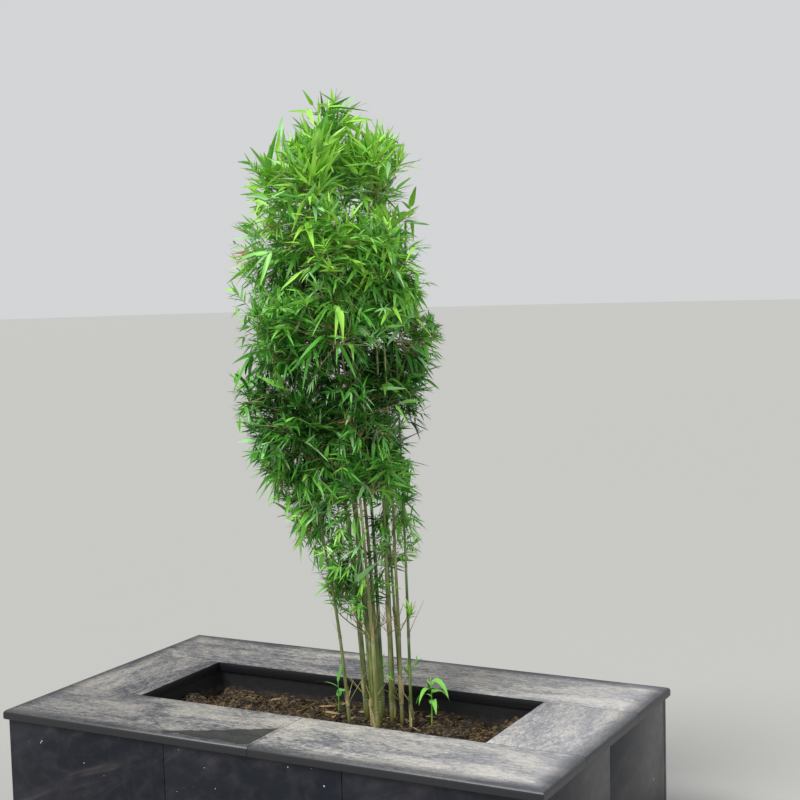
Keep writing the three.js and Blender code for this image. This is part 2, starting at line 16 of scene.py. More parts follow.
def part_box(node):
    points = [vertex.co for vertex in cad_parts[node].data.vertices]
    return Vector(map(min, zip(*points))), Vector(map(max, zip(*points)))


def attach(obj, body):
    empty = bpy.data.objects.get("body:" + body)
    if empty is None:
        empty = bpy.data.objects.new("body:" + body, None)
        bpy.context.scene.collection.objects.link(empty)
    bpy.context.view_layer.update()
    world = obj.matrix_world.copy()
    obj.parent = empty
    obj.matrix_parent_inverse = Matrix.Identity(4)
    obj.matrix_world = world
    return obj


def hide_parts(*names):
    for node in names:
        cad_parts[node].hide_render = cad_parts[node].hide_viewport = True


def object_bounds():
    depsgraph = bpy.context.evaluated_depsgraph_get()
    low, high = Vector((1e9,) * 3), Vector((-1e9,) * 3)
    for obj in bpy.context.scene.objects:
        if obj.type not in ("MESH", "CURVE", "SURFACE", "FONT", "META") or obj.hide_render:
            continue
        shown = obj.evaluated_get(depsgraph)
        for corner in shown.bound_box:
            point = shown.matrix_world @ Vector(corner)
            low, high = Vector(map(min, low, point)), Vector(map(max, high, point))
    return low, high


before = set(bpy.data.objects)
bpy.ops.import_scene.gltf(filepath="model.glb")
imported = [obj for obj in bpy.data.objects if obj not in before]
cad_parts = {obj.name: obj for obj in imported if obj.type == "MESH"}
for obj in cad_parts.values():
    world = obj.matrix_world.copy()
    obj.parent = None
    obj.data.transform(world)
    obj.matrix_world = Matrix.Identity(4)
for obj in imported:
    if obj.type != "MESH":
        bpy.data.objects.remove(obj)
cad_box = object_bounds()
MM = 0.001
print("frame:", len(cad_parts), "solids, box", [tuple(round(v, 3) for v in c) for c in cad_box])

# %% [markdown]
# ## Camera
# The picture was taken standing in front of the planter and a little to its right, looking a few degrees
# down with a short telephoto view. The place and the three angles were worked out from the joints of the
# stone, so the camera is built from them directly rather than aimed at a target by a constraint.

# %% Camera
CAMERA_PLACE = Vector((2.334, -3.926, 1.783))
YAW, PITCH, ROLL = (math.radians(a) for a in (28.05, 5.10, -1.47))
FOCAL_PIXELS, FRAME_PIXELS, SENSOR_MM = 1500, 800, 36

ahead = Vector((-math.sin(YAW) * math.cos(PITCH), math.cos(YAW) * math.cos(PITCH), -math.sin(PITCH)))
level = Vector((math.cos(YAW), math.sin(YAW), 0))
above = level.cross(ahead)
right = math.cos(ROLL) * level + math.sin(ROLL) * above
upward = math.cos(ROLL) * above - math.sin(ROLL) * level
camera = bpy.data.objects.new("camera", bpy.data.cameras.new("camera"))
camera.data.sensor_width = SENSOR_MM
camera.data.lens = SENSOR_MM * FOCAL_PIXELS / FRAME_PIXELS
turned = Matrix((right, upward, -ahead)).transposed().to_4x4()
camera.matrix_world = Matrix.Translation(CAMERA_PLACE) @ turned
bpy.context.scene.collection.objects.link(camera)
bpy.context.scene.camera = camera
print("camera: lens", round(camera.data.lens, 1), "mm")

# %% [markdown]
# ## Helpers
# Colours are written as sRGB hex values, the way a paint card gives them, and Blender wants them linear.
# One function adds any node with its settings and links, one makes a finish that follows a single noise,
# and one turns points and faces into a piece that rides on the object's only body.

# %% Colour and nodes
def linear(hex_colour):
    """An sRGB hex colour as the linear RGBA that a shader socket takes."""
    channels = [int(hex_colour[i : i + 2], 16) / 255 for i in (1, 3, 5)]
    return (*[c / 12.92 if c <= 0.04045 else ((c + 0.055) / 1.055) ** 2.4 for c in channels], 1.0)


def output_of(value):
    """A node's first output that is in use, or the given output itself."""
    return next(s for s in value.outputs if s.enabled) if isinstance(value, bpy.types.Node) else value


def add(tree, kind, sockets=None, stops=None, **properties):
    """Adds a shader node. A socket, by name or number, takes a value or another node's output."""
    node = tree.nodes.new("ShaderNode" + kind)
    for name, value in properties.items():
        setattr(node, name, value)
    if stops:
        elements = node.color_ramp.elements
        elements[0].position, elements[-1].position = stops[0][0], stops[-1][0]
        for place, _ in stops[1:-1]:
            elements.new(place)
        for element, (_, colour) in zip(elements, stops):
            element.color = linear(colour)
    for name, value in (sockets or {}).items():
        by_name = (s for s in node.inputs if s.name == name and s.enabled)
        socket = node.inputs[name] if isinstance(name, int) else next(by_name)
        if isinstance(value, (bpy.types.Node, bpy.types.NodeSocket)):
            tree.links.new(output_of(value), socket)
        else:
            socket.default_value = value
    return node


def new_material(name, constants):
    """A material with a Principled shader, whose constant sockets are set directly."""
    material = bpy.data.materials.new(name)
    material.use_nodes = True
    inputs = material.node_tree.nodes["Principled BSDF"].inputs
    for socket, value in constants.items():
        inputs[socket].default_value = value
    return material


def patterned(name, constants):
    """A new material, its node tree, and the object's own coordinates to lay a pattern out in."""
    material = new_material(name, constants)
    return material, material.node_tree, add(material.node_tree, "TexCoord").outputs["Object"]


def finish_with(material, colour, roughness, height, relief_mm):
    """Links what varies over the surface: its colour, its roughness and a bump of a real height."""
    tree = material.node_tree
    bump = add(tree, "Bump", {"Height": height, "Distance": relief_mm * MM})
    inputs = tree.nodes["Principled BSDF"].inputs
    for socket, source in (("Base Color", colour), ("Roughness", roughness), ("Normal", bump)):
        tree.links.new(output_of(source), inputs[socket])
    return material


def grained(name, ior, noise, stops, gloss, relief_mm, squeeze=(1, 1, 1)):
    """A material whose colour, roughness and relief all follow one noise, which may be drawn out."""
    material, tree, place = patterned(name, {"IOR": ior})
    along = add(tree, "Mapping", {"Vector": place, "Scale": squeeze})
    grain = add(tree, "TexNoise", {"Vector": along, **noise})
    colour = add(tree, "ValToRGB", {"Fac": grain}, stops=stops)
    roughness = add(tree, "MapRange", {"Value": grain, "To Min": gloss[0], "To Max": gloss[1]})
    return finish_with(material, colour, roughness, grain, relief_mm)


# %% Pieces
def dress(name, mesh, material, replaced=()):
    """Links a finished mesh as a piece on the root body, with its material and slot."""
    obj = bpy.data.objects.new(name, mesh)
    bpy.context.scene.collection.objects.link(obj)
    mesh.materials.append(material)
    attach(obj, "root")
    if replaced:
        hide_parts(*replaced)
    return obj


def piece(name, shape, material, replaced=(), origin=(0, 0, 0)):
    """A smooth piece from a shape's points, in millimetres from an origin, and its faces."""
    points, faces = shape
    mesh = bpy.data.meshes.new(name)
    mesh.from_pydata(((np.asarray(points, float) + origin) * MM).tolist(), [], faces)
    mesh.polygons.foreach_set("use_smooth", [True] * len(mesh.polygons))
    mesh.update()
    return dress(name, mesh, material, replaced)


def solids(*starts):
    """Names of the CAD solids that begin with one of the given words."""
    return [name for name in sorted(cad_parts) if name.startswith(starts)]


# %% [markdown]
# ## Light and floor
# The plant stood under an open sky, so the light is wide and soft, with a low, broad sun from the upper
# left that makes the tops of the sprays bright and leaves the inside of the crown dark. A plain pale
# floor and a pale sky keep the colours of the leaves true.

# %% Light and floor
SKY, SKY_STRENGTH, FLOOR, FLOOR_RADIUS = "#e9ebec", 0.8, "#a5a4a1", 60
SUN_PLACE, SUN_STRENGTH, SUN_WIDTH = (-1.6, -3.2, 6.5), 3.2, math.radians(24)
FILL_PLACE, FILL_WATTS, FILL_SIZE = (3.6, -3.4, 2.6), 60, 2.5
CROWN_MIDDLE = (0.05, 0.0, 1.5)


def add_light(kind, name, place, **settings):
    """A light at a place, turned to look at the middle of the crown."""
    light = bpy.data.lights.new(name, kind)
    for setting, value in settings.items():
        setattr(light, setting, value)
    obj = bpy.data.objects.new(name, light)
    obj.location = place
    obj.rotation_euler = (Vector(CROWN_MIDDLE) - Vector(place)).to_track_quat("-Z", "Y").to_euler()
    bpy.context.scene.collection.objects.link(obj)


world = bpy.data.worlds.new("sky")
world.use_nodes = True
background = world.node_tree.nodes["Background"]
background.inputs["Color"].default_value = linear(SKY)
background.inputs["Strength"].default_value = SKY_STRENGTH
bpy.context.scene.world = world
bpy.context.scene.view_settings.view_transform = "Standard"
add_light("SUN", "sun", SUN_PLACE, energy=SUN_STRENGTH, angle=SUN_WIDTH)
add_light("AREA", "fill", FILL_PLACE, energy=FILL_WATTS, shape="DISK", size=FILL_SIZE)

floor_mesh = bpy.data.meshes.new("floor")
floor_bm = bmesh.new()
bmesh.ops.create_circle(floor_bm, cap_ends=True, segments=64, radius=FLOOR_RADIUS)
floor_bm.to_mesh(floor_mesh)
floor_bm.free()
floor_mesh.materials.append(new_material("pale_floor", {"Base Color": linear(FLOOR), "Roughness": 0.8}))
floor = bpy.data.objects.new("floor", floor_mesh)
bpy.context.scene.collection.objects.link(floor)
print("light: one sun, one fill, a pale sky and a pale floor")

# %% [markdown]
# ## Stone coping
# The top of the planter is a hard grey stone, sawn and honed, that has weathered: buff and dark flecks
# run along each slab, it is greyer by the planter's outer sides, and it is darker and greyer towards the
# left end. Its rounded edge is polished, and every face that doesn't face up, the edge among them, is
# painted near black as shade. Rain leaves a damp patch by the joint and a fainter one to the right,
# darkened partly as damp stone and partly as a painted dark reflection. A photograph of stone would tile
# and blur, so noise that is stretched along the slab makes the flecks, about 9 mm wide, and clouds of 110
# mm. Each patch is a triangle behind the front edge, bounded by three straight lines that ripple. Stone has
# an IOR of about
# 1.55.

# %% Weathered grey stone
box_high = cad_box[1]
FLECK_MM, CLOUD_MM, FLECK_STRETCH = 9, 110, 3
PIT_MM, GRAIN_MM = 6, 2.4
RIM_FROM, RIM_TO = 60 * MM, 15 * MM
RIPPLE, BACK_SHIFT, FRONT_SHIFT = 0.036, 0.015, 0.012
POOL = {"left_tip": (-0.33, -0.492), "right_end": -0.006, "slope": 0.5, "soft": 4 * MM}
STAIN = {"left_tip": (0.34, -0.488), "right_end": 0.66, "slope": 0.16, "soft": 45 * MM}


def puddle(tree, x, y, left_tip, right_end, slope, soft):
    """How much of a damp patch covers the stone, in a triangle from its left tip to a side across the slab
    at its right.
    """
    run = add(tree, "Math", {0: x, 1: left_tip[0]}, operation="SUBTRACT")
    back = add(tree, "Math", {0: run, 1: slope, 2: left_tip[1] + BACK_SHIFT}, operation="MULTIPLY_ADD")
    limits = (back, y), (y, left_tip[1] + FRONT_SHIFT), (right_end, x)
    within = [add(tree, "Math", {0: far, 1: near}, operation="SUBTRACT") for far, near in limits]
    inside = add(tree, "Math", {0: within[0], 1: within[1]}, operation="MINIMUM")
    inside = add(tree, "Math", {0: inside, 1: within[2]}, operation="MINIMUM")
    return add(tree, "MapRange", {"Value": inside, "From Max": soft})


def weathered_stone(name, squeeze):
    """Honed grey stone flecked along the squeezed axis, painted shade where it doesn't face up, two damp
    front patches partly a painted reflection.
    """
    material, tree, place = patterned(name, {"IOR": 1.55})
    axes = add(tree, "SeparateXYZ", {0: place}).outputs
    along = add(tree, "Mapping", {"Vector": place, "Scale": squeeze})
    flecks = add(tree, "TexNoise", {"Vector": along, "Scale": 1 / (FLECK_MM * MM), "Detail": 9.0,
                                    "Roughness": 0.68, "Distortion": 1.1})
    cloud = add(tree, "TexNoise", {"Vector": along, "Scale": 1 / (CLOUD_MM * MM), "Detail": 5.0,
                                   "Roughness": 0.62, "Distortion": 0.8})
    clouding = add(tree, "Math", {0: cloud, 1: 0.45}, operation="MULTIPLY")
    tone = add(tree, "Math", {0: flecks, 1: 0.55, 2: clouding}, operation="MULTIPLY_ADD")
    stone = add(tree, "ValToRGB", {"Fac": tone}, stops=[
        (0.41, "#4a4b50"), (0.465, "#77777b"), (0.5, "#9b9a99"), (0.535, "#b5aea2"), (0.59, "#cfcabf")])
    grain = add(tree, "TexNoise", {"Vector": place, "Scale": 1 / (GRAIN_MM * MM), "Detail": 3.0})
    specks = add(tree, "ValToRGB", {"Fac": grain}, stops=[(0.36, "#5c5c5c"), (0.6, "#ffffff")])
    # Darker and greyer towards the left end.
    darker_leftwards = add(tree, "MapRange", {"Value": axes["X"], "From Min": 0.3, "From Max": -0.6, "To Max": 0.75})
    paler = add(tree, "MapRange", {"Value": axes["X"], "From Min": 0.1, "From Max": 0.9, "To Max": 0.45})
    near_sides = []
    for axis, side in zip("XY", box_high):
        away = add(tree, "Math", {0: axes[axis]}, operation="ABSOLUTE")
        near_sides.append(add(tree, "MapRange", {"Value": away, "From Min": side - RIM_FROM,
                                                 "From Max": side - RIM_TO}))
    near_rim = add(tree, "Math", {0: near_sides[0], 1: near_sides[1]}, operation="MAXIMUM")
    # Faces that don't face up, the rounded edge among them, get a lower roughness for their polish and a
    # near black colour that is painted shade.
    facing_up = add(tree, "SeparateXYZ", {0: add(tree, "NewGeometry").outputs["Normal"]}).outputs["Z"]
    polished_and_shaded_sides = add(tree, "MapRange", {"Value": facing_up, "From Min": 0.97, "From Max": 0.55})
    for share, over, blend in (
        (0.55, specks, "MULTIPLY"),
        (darker_leftwards, linear("#a8a9ad"), "MULTIPLY"),
        (paler, linear("#a5a4a8"), "MIX"),
        (near_rim, linear("#85888f"), "MULTIPLY"),
        # near black painted shade on every face that doesn't face up
        (polished_and_shaded_sides, linear("#15161a"), "MIX"),
    ):
        stone = add(tree, "Mix", {"Factor": share, "A": stone, "B": over}, data_type="RGBA",
                    blend_type=blend)
    ripple = add(tree, "TexNoise", {"Vector": place, "Scale": 28.0, "Detail": 3.0})
    wavy = add(tree, "Math", {0: ripple, 1: RIPPLE, 2: axes["Y"]}, operation="MULTIPLY_ADD")
    pool, stain = (puddle(tree, axes["X"], wavy, **patch) for patch in (POOL, STAIN))
    dull = add(tree, "Math", {0: stain, 1: 0.55}, operation="MULTIPLY")
    damp = add(tree, "Math", {0: pool, 1: dull}, operation="MAXIMUM")
    # Damp patches go nearly black: partly the real darkening of damp stone, partly a painted reflection of
    # dark surroundings.
    damp_dark_and_reflection = add(tree, "Mix", {"Factor": 0.1, "A": linear("#0d110a"), "B": stone}, data_type="RGBA")
    damp_stone_and_reflection = add(tree, "Mix", {"Factor": damp, "A": stone, "B": damp_dark_and_reflection}, data_type="RGBA")
    honed = add(tree, "MapRange", {"Value": flecks, "To Min": 0.5, "To Max": 0.78})
    dry_gloss = add(tree, "Mix", {"Factor": polished_and_shaded_sides, "A": honed, "B": 0.38})
    gloss = add(tree, "Mix", {"Factor": pool, "A": dry_gloss, "B": 0.72})
    pits = add(tree, "TexNoise", {"Vector": place, "Scale": 1 / (PIT_MM * MM), "Detail": 6.0,
                                  "Roughness": 0.7})
    return finish_with(material, damp_stone_and_reflection, gloss, pits, 0.4)


stone_along_x = weathered_stone("weathered_grey_stone_long", (1 / FLECK_STRETCH, 1, 1))
stone_along_y = weathered_stone("weathered_grey_stone_end", (1, 1 / FLECK_STRETCH, 1))
print("stone: flecks", FLECK_MM, "mm wide and", FLECK_MM * FLECK_STRETCH, "mm long")

# %% [markdown]
# A slab is a block whose top outer edges are ground round to 12 mm and whose other edges keep a fine
# arris. A bevel in steps, widest first, gives that: the top outer edges, then the foot of the outer
# edges, then every edge that is still sharp. Block by block, it takes the place of the plain solid.

# %% Rounded stone blocks
SHARP_ANGLE, COPING_ROUND, COPING_FOOT_ROUND, ARRIS = math.radians(40), 12, 5, 1.0


def sharp_edges(bm, wanted):
    """Edges between faces that meet at a sharp angle, whose middle is where it is wanted."""
    bm.normal_update()
    sharp = [e for e in bm.edges if len(e.link_faces) == 2 and e.calc_face_angle(0) > SHARP_ANGLE]
    return [e for e in sharp if wanted((e.verts[0].co + e.verts[1].co) / 2)]


def stone_block(node, rounds, material):
    """A block in the place of a CAD solid. rounds is a list of (radius in mm, segments, wanted)."""
    low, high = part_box(node)
    bm = bmesh.new()
    bmesh.ops.create_cube(bm, size=1)
    bmesh.ops.scale(bm, vec=high - low, verts=bm.verts)
    bmesh.ops.translate(bm, vec=(low + high) / 2, verts=bm.verts)
    for radius_mm, segments, wanted in rounds:
        bmesh.ops.bevel(bm, geom=sharp_edges(bm, wanted), offset=radius_mm * MM, offset_type="OFFSET",
                        segments=segments, profile=0.5, affect="EDGES", clamp_overlap=True)
    for face in bm.faces:
        face.smooth = True
    for edge in sharp_edges(bm, lambda middle: True):
        edge.smooth = False
    mesh = bpy.data.meshes.new("dressed_" + node)
    bm.to_mesh(mesh)
    bm.free()
    return dress("dressed_" + node, mesh, material, [node])


def outside(middle):
    """Whether a point is on the planter's outer sides."""
    return any(abs(abs(along) - side) < 2 * MM for along, side in zip(middle[:2], box_high))


for node in solids("coping"):
    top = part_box(node)[1].z
    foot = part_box(node)[0].z
    rounds = [
        (COPING_ROUND, 8, lambda middle, top=top: outside(middle) and abs(middle.z - top) < MM),
        (COPING_FOOT_ROUND, 4, lambda middle, foot=foot: outside(middle) and abs(middle.z - foot) < MM),
        (ARRIS, 2, lambda middle: not outside(middle)),
    ]
    is_end = node in ("coping_left", "coping_right")
    stone_block(node, rounds, stone_along_y if is_end else stone_along_x)
print("coping:", len(solids("coping")), "slabs, top edges round to", COPING_ROUND, "mm")

# %% [markdown]
# ## Polished facing tiles
# The sides are clad with polished black stone, about as glossy as wet slate. It isn't quite black: broad
# faint brown clouds drift through it along tilted veins, and a few white mineral specks catch the light.
# Noises of 420 mm and 40 mm make the clouds and the mottling, and each speck has a cell of 28 mm. A film
# of dust and rain marks dulls what the stone mirrors, so its IOR is 1.34 in place of the 1.55 of new
# polish, with a roughness of 0.2 to 0.4.

# %% Polished black stone
DRIFT_MM, VEIN_TILT, MOTTLE_MM, SPECK_CELL_MM = 420, math.radians(-24), 40, 28
TILE_ARRIS = 0.8


def polished_black_stone():
    """Black stone with brown clouds and white specks."""
    material, tree, place = patterned("polished_black_stone", {"IOR": 1.34})
    drift = add(tree, "Mapping", {"Vector": place, "Rotation": (0, VEIN_TILT, 0), "Scale": (1, 1, 0.3)},
                vector_type="TEXTURE")
    clouds = add(tree, "TexNoise", {"Vector": drift, "Scale": 1 / (DRIFT_MM * MM), "Detail": 7.0,
                                    "Roughness": 0.62, "Distortion": 1.6})
    colour = add(tree, "ValToRGB", {"Fac": clouds}, stops=[
        (0.3, "#0c0f17"), (0.5, "#12161f"), (0.59, "#1f1f25"), (0.68, "#343131"), (0.8, "#1c1e25")])
    mottle = add(tree, "TexNoise", {"Vector": place, "Scale": 1 / (MOTTLE_MM * MM), "Detail": 5.0})
    dust = add(tree, "MapRange", {"Value": mottle, "From Min": 0.45, "From Max": 0.8, "To Max": 0.22})
    cells = add(tree, "TexVoronoi", {"Vector": place, "Scale": 1 / (SPECK_CELL_MM * MM)})
    fine = add(tree, "TexNoise", {"Vector": place, "Scale": 9.0, "Detail": 2.0})
    radius = add(tree, "MapRange", {"Value": fine, "From Min": 0.46, "From Max": 0.72, "To Max": 0.13})
    speck = add(tree, "Math", {0: cells.outputs["Distance"], 1: radius}, operation="LESS_THAN")
    chance = add(tree, "SeparateColor", {0: cells.outputs["Color"]}).outputs[0]
    faded = add(tree, "Math", {0: speck, 1: chance}, operation="MULTIPLY")
    for share, over in ((dust, "#46464b"), (faded, "#c3c7ce")):
        colour = add(tree, "Mix", {"Factor": share, "A": colour, "B": linear(over)}, data_type="RGBA")
    gloss = add(tree, "MapRange", {"Value": mottle, "To Min": 0.2, "To Max": 0.4})
    return finish_with(material, colour, gloss, clouds, 0.3)


black_stone = polished_black_stone()
for node in solids("facing"):
    stone_block(node, [(TILE_ARRIS, 2, lambda middle: True)], black_stone)
print("facing:", len(solids("facing")), "tiles")

# %% [markdown]
# ## Masonry shell
# Behind the stone is rendered blockwork, painted with a black bituminous coat inside, which shows above
# the soil. The CAD solid has the right shape, so it stays and only takes a matt, slightly lumpy finish
# with the lighter splashes that watering leaves just above the soil.

# %% Black coated render
SPLASH_TOP, SPLASH_FULL = 0.405, 0.36


def black_render():
    """Matt black coating with brown splashes low down."""
    material, tree, place = patterned("black_coated_render", {"IOR": 1.5})
    lumps = add(tree, "TexNoise", {"Vector": place, "Scale": 45.0, "Detail": 6.0, "Roughness": 0.65})
    height = add(tree, "SeparateXYZ", {0: place}).outputs["Z"]
    low_down = add(tree, "MapRange", {"Value": height, "From Min": SPLASH_TOP, "From Max": SPLASH_FULL})
    splash = add(tree, "Math", {0: low_down, 1: lumps}, operation="MULTIPLY")
    colour = add(tree, "ValToRGB", {"Fac": splash}, stops=[
        (0.0, "#0b0c0f"), (0.3, "#131315"), (0.6, "#3a3026")])
    gloss = add(tree, "MapRange", {"Value": lumps, "To Min": 0.45, "To Max": 0.9})
    return finish_with(material, colour, gloss, lumps, 1.2)


shell_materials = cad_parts["planter_shell"].data.materials
shell_materials.clear()
shell_materials.append(black_render())
print("shell: coated render, splashed up to", round(SPLASH_TOP / MM), "mm")

# %% [markdown]
# ## The plant's plan
# The solids were laid out by a rule: a leaning axis, a half width of the crown at each height, tiers of
# foliage round the axis, and canes that rise from the clump's foot and end in the upper tiers. Writing the
# rule again here gives every cane and every mass its exact place. Lengths in this part are millimetres,
# from the middle of the clump at the level of the soil.

# %% The rule's numbers
SOIL_LEVEL, FIT = 370, 0.3
CLUMP = np.array([120.0, 45.0, SOIL_LEVEL])
LEAN_TOWARDS, LEAN_SHIFT, LEAN_FROM, LEAN_TO = math.radians(208), 110, 150, 950
CROWN_HEIGHTS = [230, 530, 830, 1180, 1480, 1730, 1840, 1970]
CROWN_REACHES = [95, 215, 300, 345, 340, 290, 205, 60]
TIERS = [  # height, masses, reach, culms, foot
    (430, 3, 85, 0, 0),
    (690, 4, 150, 0, 0),
    (940, 5, 200, 0, 0),
    (1190, 5, 215, 4, 104),
    (1430, 5, 205, 4, 76),
    (1650, 4, 150, 4, 46),
    (1800, 1, 0, 1, 8),
]
TIER_TURN, CELL_GAP = 0.95, 1.2
TURN_SCATTER, HEIGHT_SCATTER, REACH_SCATTER, CULM_SCATTER, FOOT_SCATTER = 0.24, 70, 0.16, 0.5, 18
PERCH_LEAST, PERCH_MOST, PERCH_BELOW = 35, 70, 60
FOOT_RADIUS, TIP_RADIUS, BOW = 5.8, 2.1, 0.66
STOUT_LEAST, STOUT_SPREAD, TIP_IN, TIP_BELOW = 0.85, 0.3, 25, 30
FIRST_NODE, INTERNODE, BARE_TOP, NODE_SWELL = 70, 215, 60, 1.22
GOLDEN, FULL_TURN = math.pi * (3 - math.sqrt(5)), 6.28
UP = np.array([0.0, 0.0, 1.0])


def seeded(seed):
    """A repeatable source of numbers from 0 to 1, the same as the solids were grown with."""
    state = seed

    def draw():
        nonlocal state
        state = (state * 1664525 + 1013904223) & 0xFFFFFFFF
        return state / 4294967296

    return draw


def unit(vector):
    """A vector of length one, or an array of them."""
    return vector / np.linalg.norm(vector, axis=-1, keepdims=True)


def heading(turn, rise=0.0):
    """A level direction at an angle, or one that also rises, whose level part is one long."""
    return np.array([math.cos(turn), math.sin(turn), rise])


def eased(value, start, end):
    """How far a value is from start to end, from 0 to 1, slow at both ends."""
    share = np.clip((value - start) / (end - start), 0, 1)
    return share * share * (3 - 2 * share)


# %% Crown, masses and culms
def crown_axis(height):
    """The middle of the crown at a height, or at each of several."""
    height = np.asarray(height, float)
    drift = LEAN_SHIFT * eased(height, LEAN_FROM, LEAN_TO)
    return np.stack([drift * math.cos(LEAN_TOWARDS), drift * math.sin(LEAN_TOWARDS), height], -1)


def crown_reach(height):
    """The crown's half width at a height."""
    return np.interp(height, CROWN_HEIGHTS, CROWN_REACHES, left=0, right=0)


def plan_masses():
    """The middle, the outward direction and the culm of each mass of foliage."""
    draw = seeded(7)
    masses = []
    for level_index, (tier_height, count, reach, canes, foot) in enumerate(TIERS):
        for k in range(count):
            angle = level_index * TIER_TURN + 2 * math.pi / count * (k + TURN_SCATTER * (draw() - 0.5))
            height = tier_height + HEIGHT_SCATTER * (draw() - 0.5)
            outward = heading(angle)
            middle = crown_axis(height) + outward * reach * (1 + REACH_SCATTER * (draw() - 0.5))
            share = canes / count
            ends = math.floor((k + 1) * share) > math.floor(k * share)
            masses.append({"middle": middle, "outward": outward, "angle": angle, "ends": ends,
                           "foot": foot, "seed": 101 + len(masses) * 17, "tier": level_index})
    return masses


def plan_culms(masses):
    """The foot, tip and stoutness of each culm, and the mass that it ends in."""
    draw = seeded(11)
    culms = []
    for index, mass in enumerate(masses):
        if not mass["ends"]:
            continue
        angle = mass["angle"] + CULM_SCATTER * (draw() - 0.5)
        spread = mass["foot"] + FOOT_SCATTER * (draw() - 0.5)
        foot = spread * heading(angle) + FIT * UP
        tip = mass["middle"] - TIP_IN * mass["outward"]
        tip[2] = mass["middle"][2] - TIP_BELOW
        stout = STOUT_LEAST + STOUT_SPREAD * draw()
        culms.append({"foot": foot, "tip": tip, "mass": index, "stout": stout})
    return culms


MASSES = plan_masses()
CULMS = plan_culms(MASSES)
FEET = np.array([c["foot"] for c in CULMS])
TIPS = np.array([c["tip"] for c in CULMS])
STOUT = np.array([c["stout"] for c in CULMS])


def culm_points(heights):
    """Where each culm is at a height, or at heights of shape (n, 1) or (n, culms)."""
    rise = heights / TIPS[:, 2]
    out = ((1 - BOW) * rise + BOW * rise * rise)[..., None]
    points = FEET + (TIPS - FEET) * out
    points[..., 2] = heights
    return points


def culm_radii(heights):
    """How thick each culm is at heights of the same shapes."""
    rise = np.clip(heights / TIPS[:, 2], 0, 1)
    return FOOT_RADIUS * STOUT * (1 - rise) + TIP_RADIUS * rise


def perch_masses():
    """Draws a mass that ends no culm near enough to one, and off any that runs through its middle."""
    for mass in MASSES:
        if mass["ends"]:
            continue
        for below, least in ((PERCH_BELOW, 0), (0, PERCH_LEAST)):
            height = mass["middle"][2] - below
            reaches = TIPS[:, 2] > height
            offsets = mass["middle"] - culm_points(height)
            offsets[:, 2] = 0
            away = np.where(reaches, np.linalg.norm(offsets, axis=1), np.inf)
            nearest = int(np.argmin(away))
            step = max(least - away[nearest], 0) if least else min(PERCH_MOST - away[nearest], 0)
            mass["middle"] = mass["middle"] + offsets[nearest] / away[nearest] * step


perch_masses()
MIDDLES = np.array([m["middle"] for m in MASSES])
between = MIDDLES[None, :] - MIDDLES[:, None]
SPANS = np.linalg.norm(between, axis=2)
TOWARDS = between / np.where(SPANS > 0, SPANS, 1)[..., None]
LIMITS = np.einsum("mod,md->mo", TOWARDS, MIDDLES) + SPANS / 2 - CELL_GAP / 2
np.fill_diagonal(LIMITS, np.inf)
print("plan:", len(MASSES), "masses,", len(CULMS), "culms")


def culm_joints(index):
    """Heights of a culm's node rings."""
    return np.arange(FIRST_NODE, TIPS[index, 2] - BARE_TOP, INTERNODE)


def on_culm(index, heights):
    """Points and radii of one culm at each of several heights."""
    grid = np.asarray(heights, float).reshape(-1, 1)
    return culm_points(grid)[:, index], culm_radii(grid)[:, index]


# %% Check the plan against the solids
def plan_error():
    """The largest distance from a culm's planned foot and tip to its solid's box, in millimetres."""
    worst = 0
    for index, node in enumerate(solids("culm")):
        low, high = (np.array(c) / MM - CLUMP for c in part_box(node))
        for point in (FEET[index], TIPS[index]):
            worst = max(worst, np.max(low - point), np.max(point - high))
    return worst


print("plan: culms leave their solids' boxes by", round(plan_error(), 3), "mm at most")

# %% [markdown]
# ## Tubes and grids
# Canes, branches and twigs are all tapering tubes. One function makes a batch of them at once with numpy,
# every tube with the same number of stations, so that thousands of twigs take a moment. The alternative,
# a curve object with a bevel for each, would make thousands of objects and lose its taper on export.
# The sheaths and the soil are grids of points, whose faces another function numbers.

# %% Batches of tubes and grids
def grid_faces(rows, columns):
    """Faces of a grid with so many rows and columns of cells, whose points are numbered by rows."""
    corner = (np.arange(rows)[:, None] * (columns + 1) + np.arange(columns)).ravel()
    return np.stack([corner, corner + 1, corner + columns + 2, corner + columns + 1], -1)


def tubes(paths, radii, sides):
    """Points and faces of closed tubes along paths (n, k, 3) with radii (n, k)."""
    paths, radii = np.asarray(paths, float), np.asarray(radii, float)
    count, stations = radii.shape
    whole = unit(paths[:, -1] - paths[:, 0])
    across = np.where(np.abs(whole[:, :1]) < 0.6, [[1.0, 0, 0]], [[0, 1.0, 0]])[:, None, :]
    along = unit(np.gradient(paths, axis=1))
    u = unit(across - np.sum(across * along, -1, keepdims=True) * along)
    v = np.cross(along, u)
    angles = 2 * math.pi * np.arange(sides) / sides
    spokes = (u[:, :, None] * np.cos(angles)[:, None] + v[:, :, None] * np.sin(angles)[:, None])
    points = paths[:, :, None] + spokes * radii[:, :, None, None]
    ring = np.arange(sides)
    turned_ring = (ring + 1) % sides
    starts = sides * np.arange(stations - 1)[:, None]
    walls = np.stack([starts + ring, starts + turned_ring, starts + sides + turned_ring,
                      starts + sides + ring], -1).reshape(-1, 4)
    offsets = (np.arange(count) * stations * sides)[:, None]
    faces = (offsets[..., None] + walls).reshape(-1, 4).tolist()
    faces += (offsets + ring[::-1]).tolist()
    faces += (offsets + (stations - 1) * sides + ring).tolist()
    return points.reshape(-1, 3), faces


def bend(start, control, end, stations):
    """Points on a smooth arc from start to end that leans towards its control point."""
    t = np.linspace(0, 1, stations)[:, None]
    return (1 - t) ** 2 * start + 2 * t * (1 - t) * control + t * t * end


